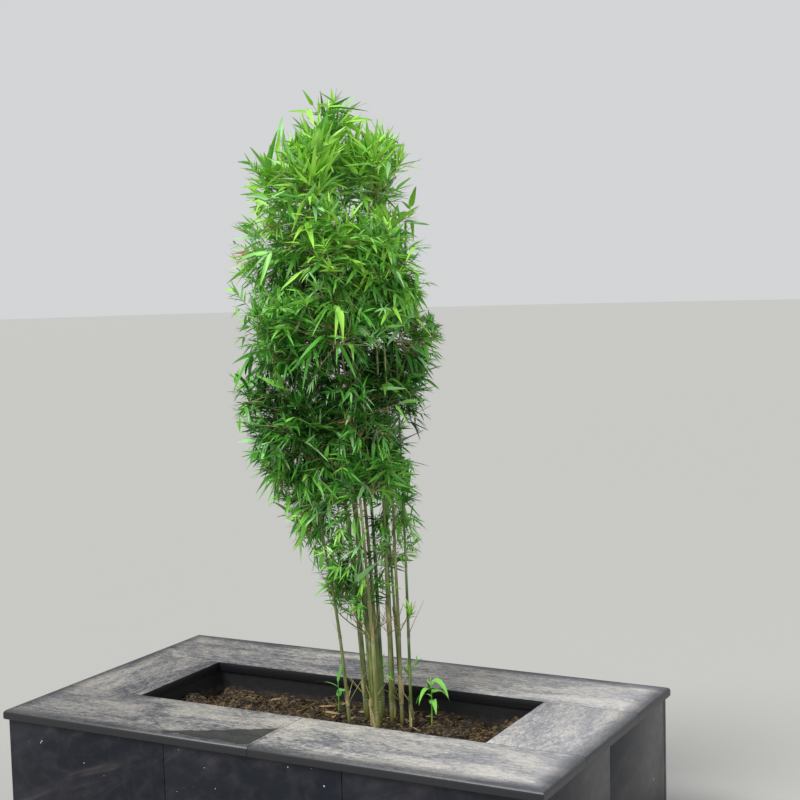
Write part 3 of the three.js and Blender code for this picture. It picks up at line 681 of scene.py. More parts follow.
# %% [markdown]
# ## Canes
# A bamboo cane is a hollow grass stem. Each joint shows two rings close together: the lower one is the
# scar of the sheath that wrapped the young cane, and the upper one is where the wood swelled. The cane
# turns a hair at each joint, and it is olive green, turning straw towards its foot, with a pale bloom of
# wax just under each joint. Real rings are modelled, because they catch the light along the edge.

# %% Ring profile and canes
RING_PROFILE = [(-26, 1.0), (-10, 1.0), (-4, 1.03), (-1, 1.16), (1, 1.22), (2.5, 1.08), (4, 1.03),
                (6.5, 1.12), (9, 1.13), (12, 1.04), (20, 1.0)]
CANE_STEP, RING_ROOM, CANE_SIDES = 34, 30, 14
JOG, JOG_FROM, JOG_BELOW_TIP = 1.1, 60, 150


def cane(index):
    """Points and faces of one cane, with its rings and its small turns at the joints."""
    joints = culm_joints(index)
    tip = TIPS[index, 2]
    plain = [h for h in np.arange(0, tip - 5, CANE_STEP) if np.min(np.abs(joints - h)) > RING_ROOM]
    stations = [(h, 1.0) for h in plain] + [(tip, 1.0)]
    stations += [(joint + rise, swell) for joint in joints for rise, swell in RING_PROFILE]
    heights, swells = np.array(sorted(stations)).T
    heights[0] = FIT
    path, radii = on_culm(index, heights)
    swing = np.interp(heights, joints + 4, [JOG * (-1) ** k for k in range(len(joints))], left=0)
    fade = np.clip((tip - heights) / JOG_BELOW_TIP, 0, 1) * np.clip(heights / JOG_FROM, 0, 1)
    side = unit(np.cross(TIPS[index] - FEET[index], UP))
    return tubes([path + side * (swing * fade)[:, None]], [radii * swells], CANE_SIDES)


# %% Bamboo cane finish
CANE_STREAK_MM, PATCH_MM = 1.6, 105
STRAW_TOP, STRAW_FULL = 0.62, 0.39


def bamboo_cane(name, greens):
    """Waxy green cane: streaks along it, straw towards the foot, bloom and a scar at each joint."""
    material, tree, place = patterned(name, {"IOR": 1.45, "Coat Weight": 0.15, "Coat Roughness": 0.3})
    height = add(tree, "SeparateXYZ", {0: place}).outputs["Z"]
    along = add(tree, "Mapping", {"Vector": place, "Scale": (1, 1, 0.02)})
    streaks = add(tree, "TexNoise", {"Vector": along, "Scale": 1 / (CANE_STREAK_MM * MM), "Detail": 4.0})
    patches = add(tree, "TexNoise", {"Vector": place, "Scale": 1 / (PATCH_MM * MM), "Detail": 3.0})
    half = add(tree, "Math", {0: patches, 1: 0.5}, operation="MULTIPLY")
    tone = add(tree, "Math", {0: streaks, 1: 0.5, 2: half}, operation="MULTIPLY_ADD")
    colour = add(tree, "ValToRGB", {"Fac": tone}, stops=list(zip((0.36, 0.48, 0.56, 0.66), greens)))
    low_down = add(tree, "MapRange", {"Value": height, "From Min": STRAW_TOP, "From Max": STRAW_FULL,
                                      "To Max": 0.16})
    since = add(tree, "Math", {0: height, 1: (SOIL_LEVEL + FIRST_NODE) * MM}, operation="SUBTRACT")
    spaces = add(tree, "Math", {0: since, 1: INTERNODE * MM}, operation="DIVIDE")
    cycle = add(tree, "Math", {0: spaces}, operation="FRACT")
    bloom = add(tree, "MapRange", {"Value": cycle, "From Min": 0.86, "From Max": 0.985, "To Max": 0.22})
    at_scar = add(tree, "Math", {0: cycle, 1: 0.0105, 2: 0.009}, operation="COMPARE")
    scar = add(tree, "MapRange", {"Value": at_scar, "To Max": 0.5})
    for share, over in ((low_down, "#a8a05c"), (bloom, "#c6cbb2"), (scar, "#6f5f3a")):
        colour = add(tree, "Mix", {"Factor": share, "A": colour, "B": linear(over)}, data_type="RGBA")
    gloss = add(tree, "MapRange", {"Value": streaks, "To Min": 0.3, "To Max": 0.5})
    return finish_with(material, colour, gloss, streaks, 0.25)


cane_finishes = [
    bamboo_cane("bamboo_cane_olive", ("#3f4a22", "#56642f", "#707d44", "#949c66")),
    bamboo_cane("bamboo_cane_green", ("#34481f", "#46602a", "#5d773a", "#839358")),
    bamboo_cane("bamboo_cane_straw", ("#545a30", "#6d7340", "#889056", "#a8ac75")),
]
for index, node in enumerate(solids("culm")):
    cane_finish = cane_finishes[(index * 2 + index // 4) % len(cane_finishes)]
    piece("cane" + node[4:], cane(index), cane_finish, [node], CLUMP)

# %% [markdown]
# The young cane was wrapped in papery sheaths, one from each joint. Most have dropped, and a few still
# cling low down: straw coloured, open on one side, standing off a little where they end in a point.

# %% Sheaths
SHEATHS, AT_FOOT_SHARE, SHEATH_LENGTHS, SHEATH_WRAP = 10, 0.4, (55, 115), math.radians(290)
SHEATH_COLUMNS, SHEATH_ROWS = 12, 7
sheath_rng = np.random.default_rng(23)


def sheath(index, joint):
    """Points of one sheath on a culm, from just over a joint."""
    length = sheath_rng.uniform(*SHEATH_LENGTHS)
    columns = np.linspace(-1, 1, SHEATH_COLUMNS)
    rows = np.linspace(0, 1, SHEATH_ROWS)[:, None]
    rise = joint + 3 + length * (1 - 0.72 * np.abs(columns) ** 1.5) * rows
    middle, radius = on_culm(index, rise.ravel())
    angle = sheath_rng.uniform(0, FULL_TURN) + columns * SHEATH_WRAP / 2 + 0 * rows
    away = radius * 1.06 + (0.7 + 2.6 * rows ** 2.5 + 0 * columns).ravel()
    spoke = np.stack([np.cos(angle), np.sin(angle), 0 * angle], -1).reshape(-1, 3)
    return middle + spoke * away[:, None]


straw = grained("straw_sheath", 1.4, {"Scale": 900.0, "Detail": 3.0}, [
    (0.35, "#7d6c45"), (0.5, "#a8996a"), (0.65, "#c9bd92")], (0.8, 0.6), 0.2, squeeze=(1, 1, 0.03))
sheath_points, sheath_faces = [], []
for k in range(SHEATHS):
    joints = culm_joints(k)
    joint = FIT if sheath_rng.uniform() < AT_FOOT_SHARE else joints[int(sheath_rng.integers(0, 2))]
    sheath_points.append(sheath(k, joint))
    sheath_faces.append(grid_faces(SHEATH_ROWS - 1, SHEATH_COLUMNS - 1) + k * SHEATH_ROWS * SHEATH_COLUMNS)
sheaths = np.concatenate(sheath_points), np.concatenate(sheath_faces).tolist()
piece("sheaths", sheaths, straw, origin=CLUMP)
print("sheaths:", SHEATHS)

# %% [markdown]
# ## Growing the foliage
# In the solids each mass has one stem, five twigs and large leaves. The same rule carries on here to what
# a bamboo really has: several branches to a joint, twigs on each branch, twiglets on each twig, and a
# fan of three to nine leaves on each twiglet. Every step asks whether it stays in the crown, near its
# own mass and off the canes, and is turned or left out if not, so the crown keeps its outline. A smooth
# limit would look clipped, so the crown has lobes inside it, and near the top each cane ends in a spire.

# %% Where growth may go
LOOSE, RAGGED, LEAF_OVER, RUNNER_OVER = 60, 0.24, 35, 80
HIGHEST = box_high.z / MM - SOIL_LEVEL - 4
YOUNG_ABOVE = 1560
SPIRE_TIER, SPIRE_WIDTH = 5, 105
FOOT_SPACE, TIP_CLEAR, CANE_CLEAR = 165, 2, 1


def lobes(angle, height):
    """How far the crown bulges towards an angle at a height, from -1 to 1, from three crossing waves."""
    return (0.5 * np.sin(3 * angle + height / 95) + 0.3 * np.sin(5 * angle - height / 57 + 1.3)
            + 0.2 * np.sin(2 * angle + height / 83))


def stays(mass, points, margin, loose=0):
    """Whether points keep to the crown's lobes, and to a mass's space with some looseness."""
    off = points - crown_axis(points[:, 2])
    away = np.hypot(off[:, 0], off[:, 1])
    reach = crown_reach(points[:, 2])
    bulge = lobes(np.arctan2(off[:, 1], off[:, 0]), points[:, 2])
    if np.any(away > np.minimum(reach * (1 - RAGGED + RAGGED * bulge) - margin, reach)):
        return False
    if np.any(points[:, 2] > HIGHEST):
        return False
    if MASSES[mass]["tier"] >= SPIRE_TIER:
        beside = points - MASSES[mass]["middle"]
        if np.any(np.hypot(beside[:, 0], beside[:, 1]) > SPIRE_WIDTH - margin):
            return False
    return bool(np.all(points @ TOWARDS[mass].T < LIMITS[mass] - margin + loose))


def off_canes(points, radius):
    """Whether points keep clear of every cane."""
    heights = np.minimum(points[:, 2:3], TIPS[:, 2])
    away = np.linalg.norm(points[:, None] - culm_points(heights), axis=2)
    past = points[:, 2:3] > TIPS[:, 2] + radius + TIP_CLEAR
    return bool(np.all(past | (away > culm_radii(heights) * NODE_SWELL + radius + CANE_CLEAR)))


def fits(mass, points, margin, radius):
    """Whether points keep to their mass's space, or near the foot where there is no mass, off the canes."""
    if mass is None:
        inside = bool(np.all(np.hypot(points[:, 0], points[:, 1]) < FOOT_SPACE))
    else:
        inside = stays(mass, points, margin, LOOSE)
    return inside and off_canes(points, radius)


def branch_off(direction, turn, spread):
    """A direction that leaves another one by an angle, turned about it."""
    across = UP if abs(direction[2]) < 0.8 else np.array([1.0, 0, 0])
    u = unit(np.cross(across, direction))
    v = np.cross(direction, u)
    sideways = u * math.cos(turn) + v * math.sin(turn)
    return unit(direction * math.cos(spread) + sideways * math.sin(spread))


# %% [markdown]
# A mass has three to nine stems, the most in the middle of the crown. The first goes on from the tip of
# the mass's own cane or from the cane that is nearest, and the others start at joints or on the first.

# %% Stems
STEMS_BY_TIER = (3, 5, 8, 9, 8, 6, 3)
STEM_REACH, STEM_SHORTER, STEM_RISE = 110, 0.05, (0.25, 0.8)
STEM_TRIES, STEM_MARGIN, STEM_CLEAR = 14, 8, 2.0
FIRST_TURN, OTHER_TURN, UPRIGHT_OUT, STEM_OUT = 0.7, 2.6, 0.15, 0.75
TARGET_SCATTER, TARGET_DROP = (38, 38, 84), 45
STEM_STATIONS, TWIG_STATIONS, TWIGLET_STATIONS = 8, 5, 3
SEAT_RISE, SEAT_OVER = 6, 60
SEAT_STEP, SEAT_BARE_TOP, SEAT_BELOW = 15, 40, 15


def seats_of(index):
    """Where stems of a mass can start: joints of canes in its space, the nearest first."""
    middle = MASSES[index]["middle"]
    seats = []
    for c in range(len(CULMS)):
        for point in on_culm(c, culm_joints(c) + SEAT_RISE)[0]:
            if point[2] < middle[2] + SEAT_OVER and stays(index, point[None], 0, LOOSE):
                seats.append((np.linalg.norm(point - middle), tuple(point)))
    return [np.array(point) for _, point in sorted(seats)]


def nearest_on_cane(index):
    """The point of a cane, at any height under a mass's middle, that is nearest to that middle."""
    middle = MASSES[index]["middle"]
    heights = np.arange(FIRST_NODE, middle[2] - SEAT_BELOW, SEAT_STEP)[:, None]
    points = culm_points(heights)
    away = np.linalg.norm(points - middle, axis=2)
    away[heights > TIPS[:, 2] - SEAT_BARE_TOP] = np.inf
    return points[np.unravel_index(np.argmin(away), away.shape)]


def plan_stem(index, start, first, rng):
    """A curved stem from its seat through the mass, or None where none fits."""
    mass = MASSES[index]
    out = UPRIGHT_OUT if first and mass["tier"] == len(TIERS) - 1 else STEM_OUT
    for tried in range(STEM_TRIES):
        turn = 0 if first and tried == 0 else rng.uniform(-1, 1) * (FIRST_TURN if first else OTHER_TURN)
        direction = unit(heading(mass["angle"] + turn) * out + UP * rng.uniform(*STEM_RISE))
        scatter = 0 if first else 1
        target = mass["middle"] + scatter * (rng.normal(0, 1, 3) * TARGET_SCATTER - UP * TARGET_DROP)
        end = target + direction * STEM_REACH * (1 - STEM_SHORTER * tried)
        path = bend(start, target, end, STEM_STATIONS)
        if fits(index, path[3:], STEM_MARGIN, STEM_CLEAR):
            return path
    return None


# %% [markdown]
# Two kinds of spray grow on the twiglets. Long blades in threes and fours stand out of the crown and catch
# the light, and small ones in sixes to nines fill it. At the top they point up and out, lower down they
# hang more, and about a third of the long ones hang steeply. The crest has few twiglets with nearly only
# long blades, so sky shows between them, and low down the crown opens so that the canes show.

# %% Sprays
LONG = {"leaves": (3, 5), "length": 106, "vary": 0.12, "ratio": 0.165, "step": 0.22,
        "hang": (-0.15, 0.4), "droop": (0.04, 0.22),
        "stations": np.array([0, 0.035, 0.09, 0.18, 0.3, 0.45, 0.6, 0.75, 0.89, 1.0])}
SMALL = {"leaves": (6, 10), "length": 48, "vary": 0.18, "ratio": 0.15, "step": 0.08,
         "hang": (-0.3, 0.35), "droop": (0.02, 0.2),
         "stations": np.array([0, 0.1, 0.36, 0.72, 1.0])}
YOUNG_HANG, STEEP_HANG, STEEP_SHARE = (-0.55, 0.12), (0.5, 1.0), 0.3
LONG_SHARE = {"inner": 0.05, "outer": 0.2, "young": 0.7, "crest": 0.95}
OUTER_FROM, SPEAR_SHARE, SPEAR_WIDTH = 0.6, 0.3, 2.4
FAN_SPAN, FAN_TILT, FAN_SMALLER, FIRST_ANGLE, NEXT_ANGLE = 0.85, 0.45, 0.25, 0.12, 0.4
LEAF_TRIES, LEAF_SHORTER, LEAF_LENGTHS, LEAF_WIDTHS = 3, 0.16, (0.86, 1.1), (0.88, 1.15)
LEAF_SCATTER, LEAF_TWIST, LEAF_FOLDS, LEAF_CLEAR = 0.16, 0.5, (0.12, 0.45), 1.5
TWIGS_EACH, TWIGS_FROM, TWIGS_SPAN, YOUNG_INSIDE = 8, 0.2, 0.78, 0.06
TWIG_LENGTH, TWIG_LENGTHS, TWIG_SPREAD, LAST_SPREAD = 84, (0.75, 1.15), math.radians(50), 0.2
TWIG_TRIES, TWIG_SHORTER, TWIG_RISE, TWIG_MARGIN, TWIG_CLEAR = 4, 0.14, 0.06, 2, 1.2
TWIGLETS_EACH, FEWER_TWIGLETS, CREST_TWIGLETS, TWIGLET_CLEAR = 4, 3, 2, 1.0
TWIGLET_LENGTH, TWIGLET_LENGTHS, TWIGLET_SPREADS, TWIGLET_DROP = 44, (0.7, 1.2), (0.6, 0.95), 0.12
OPEN_BELOW, CREST_ABOVE, CREST_ROOM = 620, 1790, 60
RUNNER_SHARE, RUNNER_STRETCH = 0.16, 1.45
TAPERS = {"stems": (1.7, 1.0), "twigs": (1.15, 0.7), "twiglets": (0.75, 0.5)}
grown = {kind: {"paths": [], "radii": []} for kind in TAPERS}
sprays = []


def keep_path(kind, path, taper=None):
    """Notes a stem, twig or twiglet that tapers from one radius to another."""
    grown[kind]["paths"].append(path)
    grown[kind]["radii"].append(np.linspace(*(taper or TAPERS[kind]), len(path)))


def outwardness(point):
    """How far out in the crown a point is, from 0 at its axis to 1 at its reach."""
    away = np.hypot(*(point - crown_axis(point[2]))[:2])
    return float(min(away / max(crown_reach(point[2]), 1), 1))


def grow_spray(index, path, rng, young, over=LEAF_OVER):
    """A fan of leaves on the end of a twiglet, which may stand out of the crown's lobes a little."""
    tip, direction = path[-1], unit(path[-1] - path[-2])
    outer = index is not None and outwardness(tip) > OUTER_FROM
    where = "crest" if tip[2] > CREST_ABOVE else "young" if young else "outer" if outer else "inner"
    kind = LONG if rng.uniform() < LONG_SHARE[where] else SMALL
    steep = kind is LONG and not young and rng.uniform() < STEEP_SHARE
    hangs = YOUNG_HANG if young else STEEP_HANG if steep else kind["hang"]
    side = np.cross(direction, UP) + rng.normal(0, FAN_TILT, 3)
    side = unit(side - np.dot(side, direction) * direction)
    size = kind["length"] * (1 + kind["vary"] * rng.normal())
    spray = {"at": tip, "kind": kind, "leaves": []}
    count = int(rng.integers(*kind["leaves"]))
    for k in range(count):
        seat = tip + (path[0] - tip) * FAN_SPAN * k / count
        angle = FIRST_ANGLE if k == 0 else NEXT_ANGLE + kind["step"] * k
        for tried in range(LEAF_TRIES):
            along = direction * math.cos(angle) + side * math.sin(angle) * (1 if k % 2 else -1)
            along = unit(along - UP * rng.uniform(*hangs) + rng.normal(0, LEAF_SCATTER, 3))
            length = size * (1 - FAN_SMALLER * k / count) * rng.uniform(*LEAF_LENGTHS)
            length = length * (1 - LEAF_SHORTER * tried)
            blade = seat + along * length * np.array([[0.3], [0.65], [1.0]])
            if fits(index, blade, -over, LEAF_CLEAR):
                spray["leaves"].append({
                    "root": seat, "along": along, "length": length, "twist": rng.normal(0, LEAF_TWIST),
                    "width": length * kind["ratio"] * rng.uniform(*LEAF_WIDTHS),
                    "droop": rng.uniform(*kind["droop"]) * (0.5 if young else 1),
                    "roll": rng.normal(0, LEAF_TWIST), "fold": rng.uniform(*LEAF_FOLDS)})
                break
    if young and rng.uniform() < SPEAR_SHARE:
        along = unit(direction + UP * 0.8)
        blade = tip + along * size * np.array([[0.5], [1.0]])
        if fits(index, blade, -over, LEAF_CLEAR):
            spray["leaves"].append({"root": tip, "along": along, "length": size, "twist": 0.0,
                                    "width": SPEAR_WIDTH, "droop": 0.01, "roll": 0.0, "fold": 1.0})
    sprays.append(spray)


def grow_twig(index, start, direction, length, rng, young):
    """A twig with its twiglets, each with a spray. A few are runners that reach out of the lobes."""
    runner = rng.uniform() < RUNNER_SHARE
    over = RUNNER_OVER if runner else 0
    length = length * (RUNNER_STRETCH if runner else 1)
    end = start + direction * length
    path = bend(start, start + direction * length * 0.5 + UP * length * TWIG_RISE, end, TWIG_STATIONS)
    if end[2] > HIGHEST - CREST_ROOM or not fits(index, path[2:], TWIG_MARGIN - over, TWIG_CLEAR):
        return False
    keep_path("twigs", path)
    fewer = young or start[2] < OPEN_BELOW
    twiglets = CREST_TWIGLETS if start[2] > CREST_ABOVE else FEWER_TWIGLETS if fewer else TWIGLETS_EACH
    for k in range(twiglets):
        last = k == twiglets - 1
        share = 1.0 if last else 0.3 + 0.65 * k / twiglets
        seat = start + (end - start) * share + UP * length * 2 * TWIG_RISE * share * (1 - share)
        spread = LAST_SPREAD if last else rng.uniform(*TWIGLET_SPREADS)
        for tried in range(TWIG_TRIES):
            out = branch_off(direction, k * GOLDEN * 2 + rng.uniform(0, FULL_TURN), spread)
            reach = TWIGLET_LENGTH * rng.uniform(*TWIGLET_LENGTHS)
            tip = seat + unit(out - UP * TWIGLET_DROP) * reach
            twiglet = bend(seat, seat + out * reach * 0.5, tip, TWIGLET_STATIONS)
            if fits(index, twiglet[1:], TWIG_MARGIN - over, TWIGLET_CLEAR):
                keep_path("twiglets", twiglet)
                grow_spray(index, twiglet, rng, young, max(over, LEAF_OVER))
                break
    return True


def grow_mass(index):
    """All the stems, twigs and sprays of one mass."""
    mass = MASSES[index]
    rng = np.random.default_rng(mass["seed"])
    own = next((c for c, culm in enumerate(CULMS) if culm["mass"] == index), None)
    seats = seats_of(index) or [nearest_on_cane(index)]
    first_seat = TIPS[own] if own is not None else nearest_on_cane(index)
    main = None
    for k in range(STEMS_BY_TIER[mass["tier"]]):
        start = first_seat if k == 0 else seats[(k - 1) % len(seats)]
        if k > 2 and main is not None:
            start = main[min(1 + k % 3, STEM_STATIONS - 1)]
        path = plan_stem(index, start, k == 0, rng)
        if path is None:
            continue
        main = path if main is None else main
        keep_path("stems", path, (TIP_RADIUS, TAPERS["stems"][1]) if k == 0 else None)
        for i in range(TWIGS_EACH):
            place = (TWIGS_FROM + TWIGS_SPAN * i / (TWIGS_EACH - 1)) * (STEM_STATIONS - 1)
            lower = min(int(place), STEM_STATIONS - 2)
            step = path[lower + 1] - path[lower]
            seat = path[lower] + step * (place - lower)
            young = seat[2] > YOUNG_ABOVE or rng.uniform() < YOUNG_INSIDE
            for tried in range(TWIG_TRIES):
                turn = i * GOLDEN + rng.uniform(0, 1.2) + tried * GOLDEN
                spread = TWIG_SPREAD if i < TWIGS_EACH - 1 or tried else LAST_SPREAD
                length = TWIG_LENGTH * rng.uniform(*TWIG_LENGTHS) * (1 - TWIG_SHORTER * tried)
                if grow_twig(index, seat, branch_off(unit(step), turn, spread), length, rng, young):
                    break


for index in range(len(MASSES)):
    grow_mass(index)

# %% [markdown]
# Low on the canes, under the crown, thin pale twigs stick out of the joints. Most have lost their leaves.

# %% Low twigs
LOW_TWIGS, HIGHER_SHARE, LOW_LEAFY_SHARE = 78, 0.72, 0.25
LOW_REACH, LOW_RISE, LOW_TAPER, LOW_CLEAR = (50, 150), (0.7, 1.9), (1.4, 0.6), 0.5
low_rng = np.random.default_rng(41)
for k in range(LOW_TWIGS):
    joint = FIRST_NODE + INTERNODE * (low_rng.uniform() < HIGHER_SHARE) + SEAT_RISE
    start = on_culm(k % len(CULMS), [joint])[0][0]
    turn, reach = low_rng.uniform(0, FULL_TURN), low_rng.uniform(*LOW_REACH)
    direction = unit(heading(turn, low_rng.uniform(*LOW_RISE)))
    end = start + direction * reach
    path = bend(start, start + direction * reach * 0.5 + low_rng.normal(0, 6, 3), end, TWIG_STATIONS)
    if not fits(None, path[2:], 0, LOW_CLEAR):
        continue
    keep_path("twigs", path, LOW_TAPER)
    if low_rng.uniform() < LOW_LEAFY_SHARE:
        grow_spray(None, path[-2:], low_rng, False)
leaf_count = sum(len(spray["leaves"]) for spray in sprays)
print("grown:", *(f"{len(grown[kind]['paths'])} {kind}," for kind in grown), len(sprays), "sprays,",
      leaf_count, "leaves")

# %% [markdown]
# ## Leaf blades
# A bamboo leaf is a long blade on a short stalk: it widens fast, is widest a quarter of the way along and
# then narrows to a fine point. It folds a little along its midrib, droops towards its tip and twists. A
# texture on a flat card would look thin from the side, so each blade is a small curved mesh, of 34
# triangles or 14 for a small one, and all blades of one colour and size are joined.

# %% Blade shape
LEAF_KEYS = ("root", "along", "length", "width", "droop", "twist", "roll", "fold")
STALK_HALF, EDGE_WAVE = 0.45, 0.05


def blade_profile(t):
    """Half the blade's width along it, as a share of the most."""
    return (1 - np.exp(-t / 0.07)) * (1 - t) ** 0.75 / 0.78


def blades(chosen, stations):
    """Points and faces of leaf blades, each with a row of three points at every station but the last."""
    root, along, length, width, droop, twist, roll, fold = (
        np.array([leaf[key] for leaf in chosen]).reshape(len(chosen), 1, -1) for key in LEAF_KEYS)
    t = stations[None, :, None]
    centre = root + along * length * t * (1 - 0.18 * droop * t) - UP * droop * length * t * t
    run = unit(np.gradient(centre, axis=1))
    flat = np.cross(UP, along)
    flat = unit(np.where(np.linalg.norm(flat, axis=2, keepdims=True) < 0.05, [1.0, 0, 0], flat))
    normal = unit(np.cross(run, np.broadcast_to(flat, run.shape)))
    side = np.cross(normal, run)
    cos, sin = np.cos(roll + twist * t), np.sin(roll + twist * t)
    side, normal = side * cos + normal * sin, normal * cos - side * sin
    half = np.maximum(blade_profile(t) * width / 2, STALK_HALF * (t < 0.99))
    lift = half * fold
    wave = EDGE_WAVE * np.sin(9 * t + 7 * roll) * half
    left = centre + side * half + normal * (lift + wave)
    right_side = centre - side * half + normal * (lift - wave)
    rows = np.stack([left, centre, right_side], 2)[:, :-1].reshape(len(chosen), -1, 3)
    points = np.concatenate([rows, centre[:, -1:]], 1)
    each = points.shape[1]
    starts = 3 * np.arange(len(stations) - 2)[:, None]
    strip = np.concatenate([starts + [0, 1, 4, 3], starts + [1, 2, 5, 4]])
    last = 3 * (len(stations) - 2)
    ends = np.array([[last, last + 1, each - 1], [last + 1, last + 2, each - 1]])
    offsets = (np.arange(len(chosen)) * each)[:, None, None]
    faces = (offsets + strip).reshape(-1, 4).tolist() + (offsets + ends).reshape(-1, 3).tolist()
    return points.reshape(-1, 3), faces


# %% [markdown]
# ## Colours of the leaves
# Leaves are painted lighter the higher and the further out their spray is, and a little more for long
# blades: this is painted light and shade, dark green as shade inside the crown and bright yellow-green as
# light at the top and the outside, where the lime is partly the real colour of young leaves. Some are a
# pale bluish green, partly the wax of their underside and partly a painted reflection of the sky, and a few
# are dry and straw coloured. Colour is dealt out spray by spray as plain base colours, each on a piece of
# its own, because a pattern laid over thousands of blades would fall anywhere. A leaf's cuticle is a satin
# wax with an IOR of 1.48.

# %% Tints
LEAF_TINTS = {  # colour and roughness
    "deep": ("#1f4a12", 0.38),
    "green": ("#357022", 0.38),
    "fresh": ("#4f9a32", 0.38),
    "bright": ("#76bb48", 0.38),
    "young": ("#94d048", 0.38),
    # Pale bluish green: partly the wax of a leaf's underside, partly a painted reflection of the sky.
    "waxy": ("#8cc77a", 0.55),
    "dry": ("#a98b55", 0.7),
}
# The tints from deep to young are steps of painted shade and light; the lime of the brightest is partly the
# real colour of new leaves.
SHADE_TO_LIT_TINTS = ["deep", "green", "fresh", "bright", "young"]
THRESHOLDS = [0.43, 0.6, 0.76, 0.95]
LIGHT_HEIGHTS, LIGHT_SHARES = [250, 650, 1000, 1350, 1650, 1900], [0.4, 0.48, 0.12, 0.45, 0.68, 0.72]
OUTER_LIGHT, LONG_LIGHT, LIGHT_SCATTER = 0.5, 0.05, 0.12
# Sprays dealt the pale bluish tint carry partly a painted reflection of the sky.
WAXY_SHEEN_SHARE, DRY_SHARE = {"long": 0.2, "small": 0.05}, {"long": 0, "small": 0.004}
tint_rng = np.random.default_rng(29)
dealt = {(tint, size): [] for tint in LEAF_TINTS for size in ("long", "small")}
for spray in sprays:
    size = "long" if spray["kind"] is LONG else "small"
    # A spray's tint is painted light and shade: the higher and the further out it is, the lighter, and the
    # inside of the crown is painted dark.
    lit = OUTER_LIGHT * outwardness(spray["at"]) + np.interp(spray["at"][2], LIGHT_HEIGHTS, LIGHT_SHARES)
    score = lit + (LONG_LIGHT if size == "long" else 0) + tint_rng.normal(0, LIGHT_SCATTER)
    tint = SHADE_TO_LIT_TINTS[int(np.searchsorted(THRESHOLDS, score))]
    chance = tint_rng.uniform()
    tint = "waxy" if chance < WAXY_SHEEN_SHARE[size] else "dry" if chance > 1 - DRY_SHARE[size] else tint
    dealt[tint, size] += spray["leaves"]

foliage_nodes = solids("foliage")
leaf_materials = {}
for tint, (colour, roughness) in LEAF_TINTS.items():
    leaf_materials[tint] = new_material("bamboo_leaf_" + tint, {
        "Base Color": linear(colour), "Roughness": roughness, "IOR": 1.48})
for (tint, size), chosen in dealt.items():
    if not chosen:
        continue
    points, faces = blades(chosen, (LONG if size == "long" else SMALL)["stations"])
    name = "leaves_" + tint + "_" + size
    piece(name, (points, faces), leaf_materials[tint], foliage_nodes, CLUMP)
    print("leaves:", tint, size, len(chosen), "leaves,", 2 * len(faces) - 2 * len(chosen), "triangles")

# %% [markdown]
# ## Twigs
# Branches are olive like the canes, and twigs are thinner, paler and straw coloured towards their ends.
# They are tubes of six, four and three sides, fewer the thinner they are, joined by kind.

# %% Twig pieces
for kind, sides, colour in (("stems", 6, "#7b8548"), ("twigs", 4, "#9a9a62"), ("twiglets", 3, "#8a9a50")):
    wood = new_material("bamboo_" + kind, {"Base Color": linear(colour), "Roughness": 0.5, "IOR": 1.45})
    points, faces = tubes(grown[kind]["paths"], grown[kind]["radii"], sides)
    piece("branch_" + kind, (points, faces), wood, foliage_nodes, CLUMP)
    print("twigs:", kind, "of", sides, "sides,", len(faces), "faces")

# %% [markdown]
# ## Young shoots
# Beside the clump two shoots have come up this season. Their leaves are broader than the others.

# %% Shoots
SHOOTS = {  # place, height, turn, leaves, lean and droop of the first and the others, width, tint
    "shoot_left": (-174, 43, 105, 2.6, 4, (0.3, 1.08), (0.1, 0.3), 17, "fresh"),
    "shoot_right": (163, 31, 160, 5.2, 8, (0.75, 1.0), (0.65, 0.85), 23, "bright"),
}
SHOOT_LENGTH, SHOOT_STATIONS, SHOOT_TAPER, SHOOT_SIDES, SHOOT_CLEAR = 105, 8, (2.4, 1.0), 8, 10
for node, (x, y, height, turn, count, leans, droops, width, tint) in SHOOTS.items():
    foot, top = np.array([x, y, FIT]), np.array([x, y, height])
    shoot_leaves = []
    for k in range(count):
        seat = foot + (top - foot) * (0.97 - 0.6 * k / count)
        along = branch_off(UP, turn + k * GOLDEN, leans[min(k, 1)])
        length = SHOOT_LENGTH * (1 - 0.4 * k / count)
        blade = seat + along * length * np.array([[0.4], [0.7], [1.0]])
        if off_canes(blade, SHOOT_CLEAR):
            shoot_leaves.append({
                "root": seat, "along": along, "length": length, "width": width, "fold": 0.3,
                "roll": 0.15 * (k % 3), "twist": 0.3 * (k % 2), "droop": droops[min(k, 1)]})
    points, faces = blades(shoot_leaves, LONG["stations"])
    path = bend(foot, (foot + top) / 2 + [3, 2, 0], top, SHOOT_STATIONS)
    stem_points, stem_faces = tubes([path], [np.linspace(*SHOOT_TAPER, SHOOT_STATIONS)], SHOOT_SIDES)
    faces += [[corner + len(points) for corner in face] for face in stem_faces]
    shoot = np.concatenate([points, stem_points]), faces
    piece("young_" + node, shoot, leaf_materials[tint], [node], CLUMP)
print("shoots:", *SHOOTS)

# %% [markdown]
# ## Soil
# The trough is filled with a coarse mix of coir, bark and earth in brown lumps. The surface is a fine
# grid with the lumps' broad shape, and clods and fibres lie on it as real small meshes, because a bump
# alone would leave the edge of the soil smooth.

# %% Soil surface
SOIL_LUMP, SOIL_SETTLED, LEVEL_REACH, LEVEL_BLEND = 16, 8, 250, 120
LUMPS, LUMP_RADII, LUMP_RISE, SUNK = 300, (14, 44), 0.5, 9
CRUMB_WAVES, CRUMB_RISE, SOIL_CEILING = (61, 43, 29, 21, 15, 11), 0.035, 412
SOIL_COLUMNS, SOIL_ROWS = 240, 88
soil_low, soil_high = (np.array(c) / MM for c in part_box("soil"))


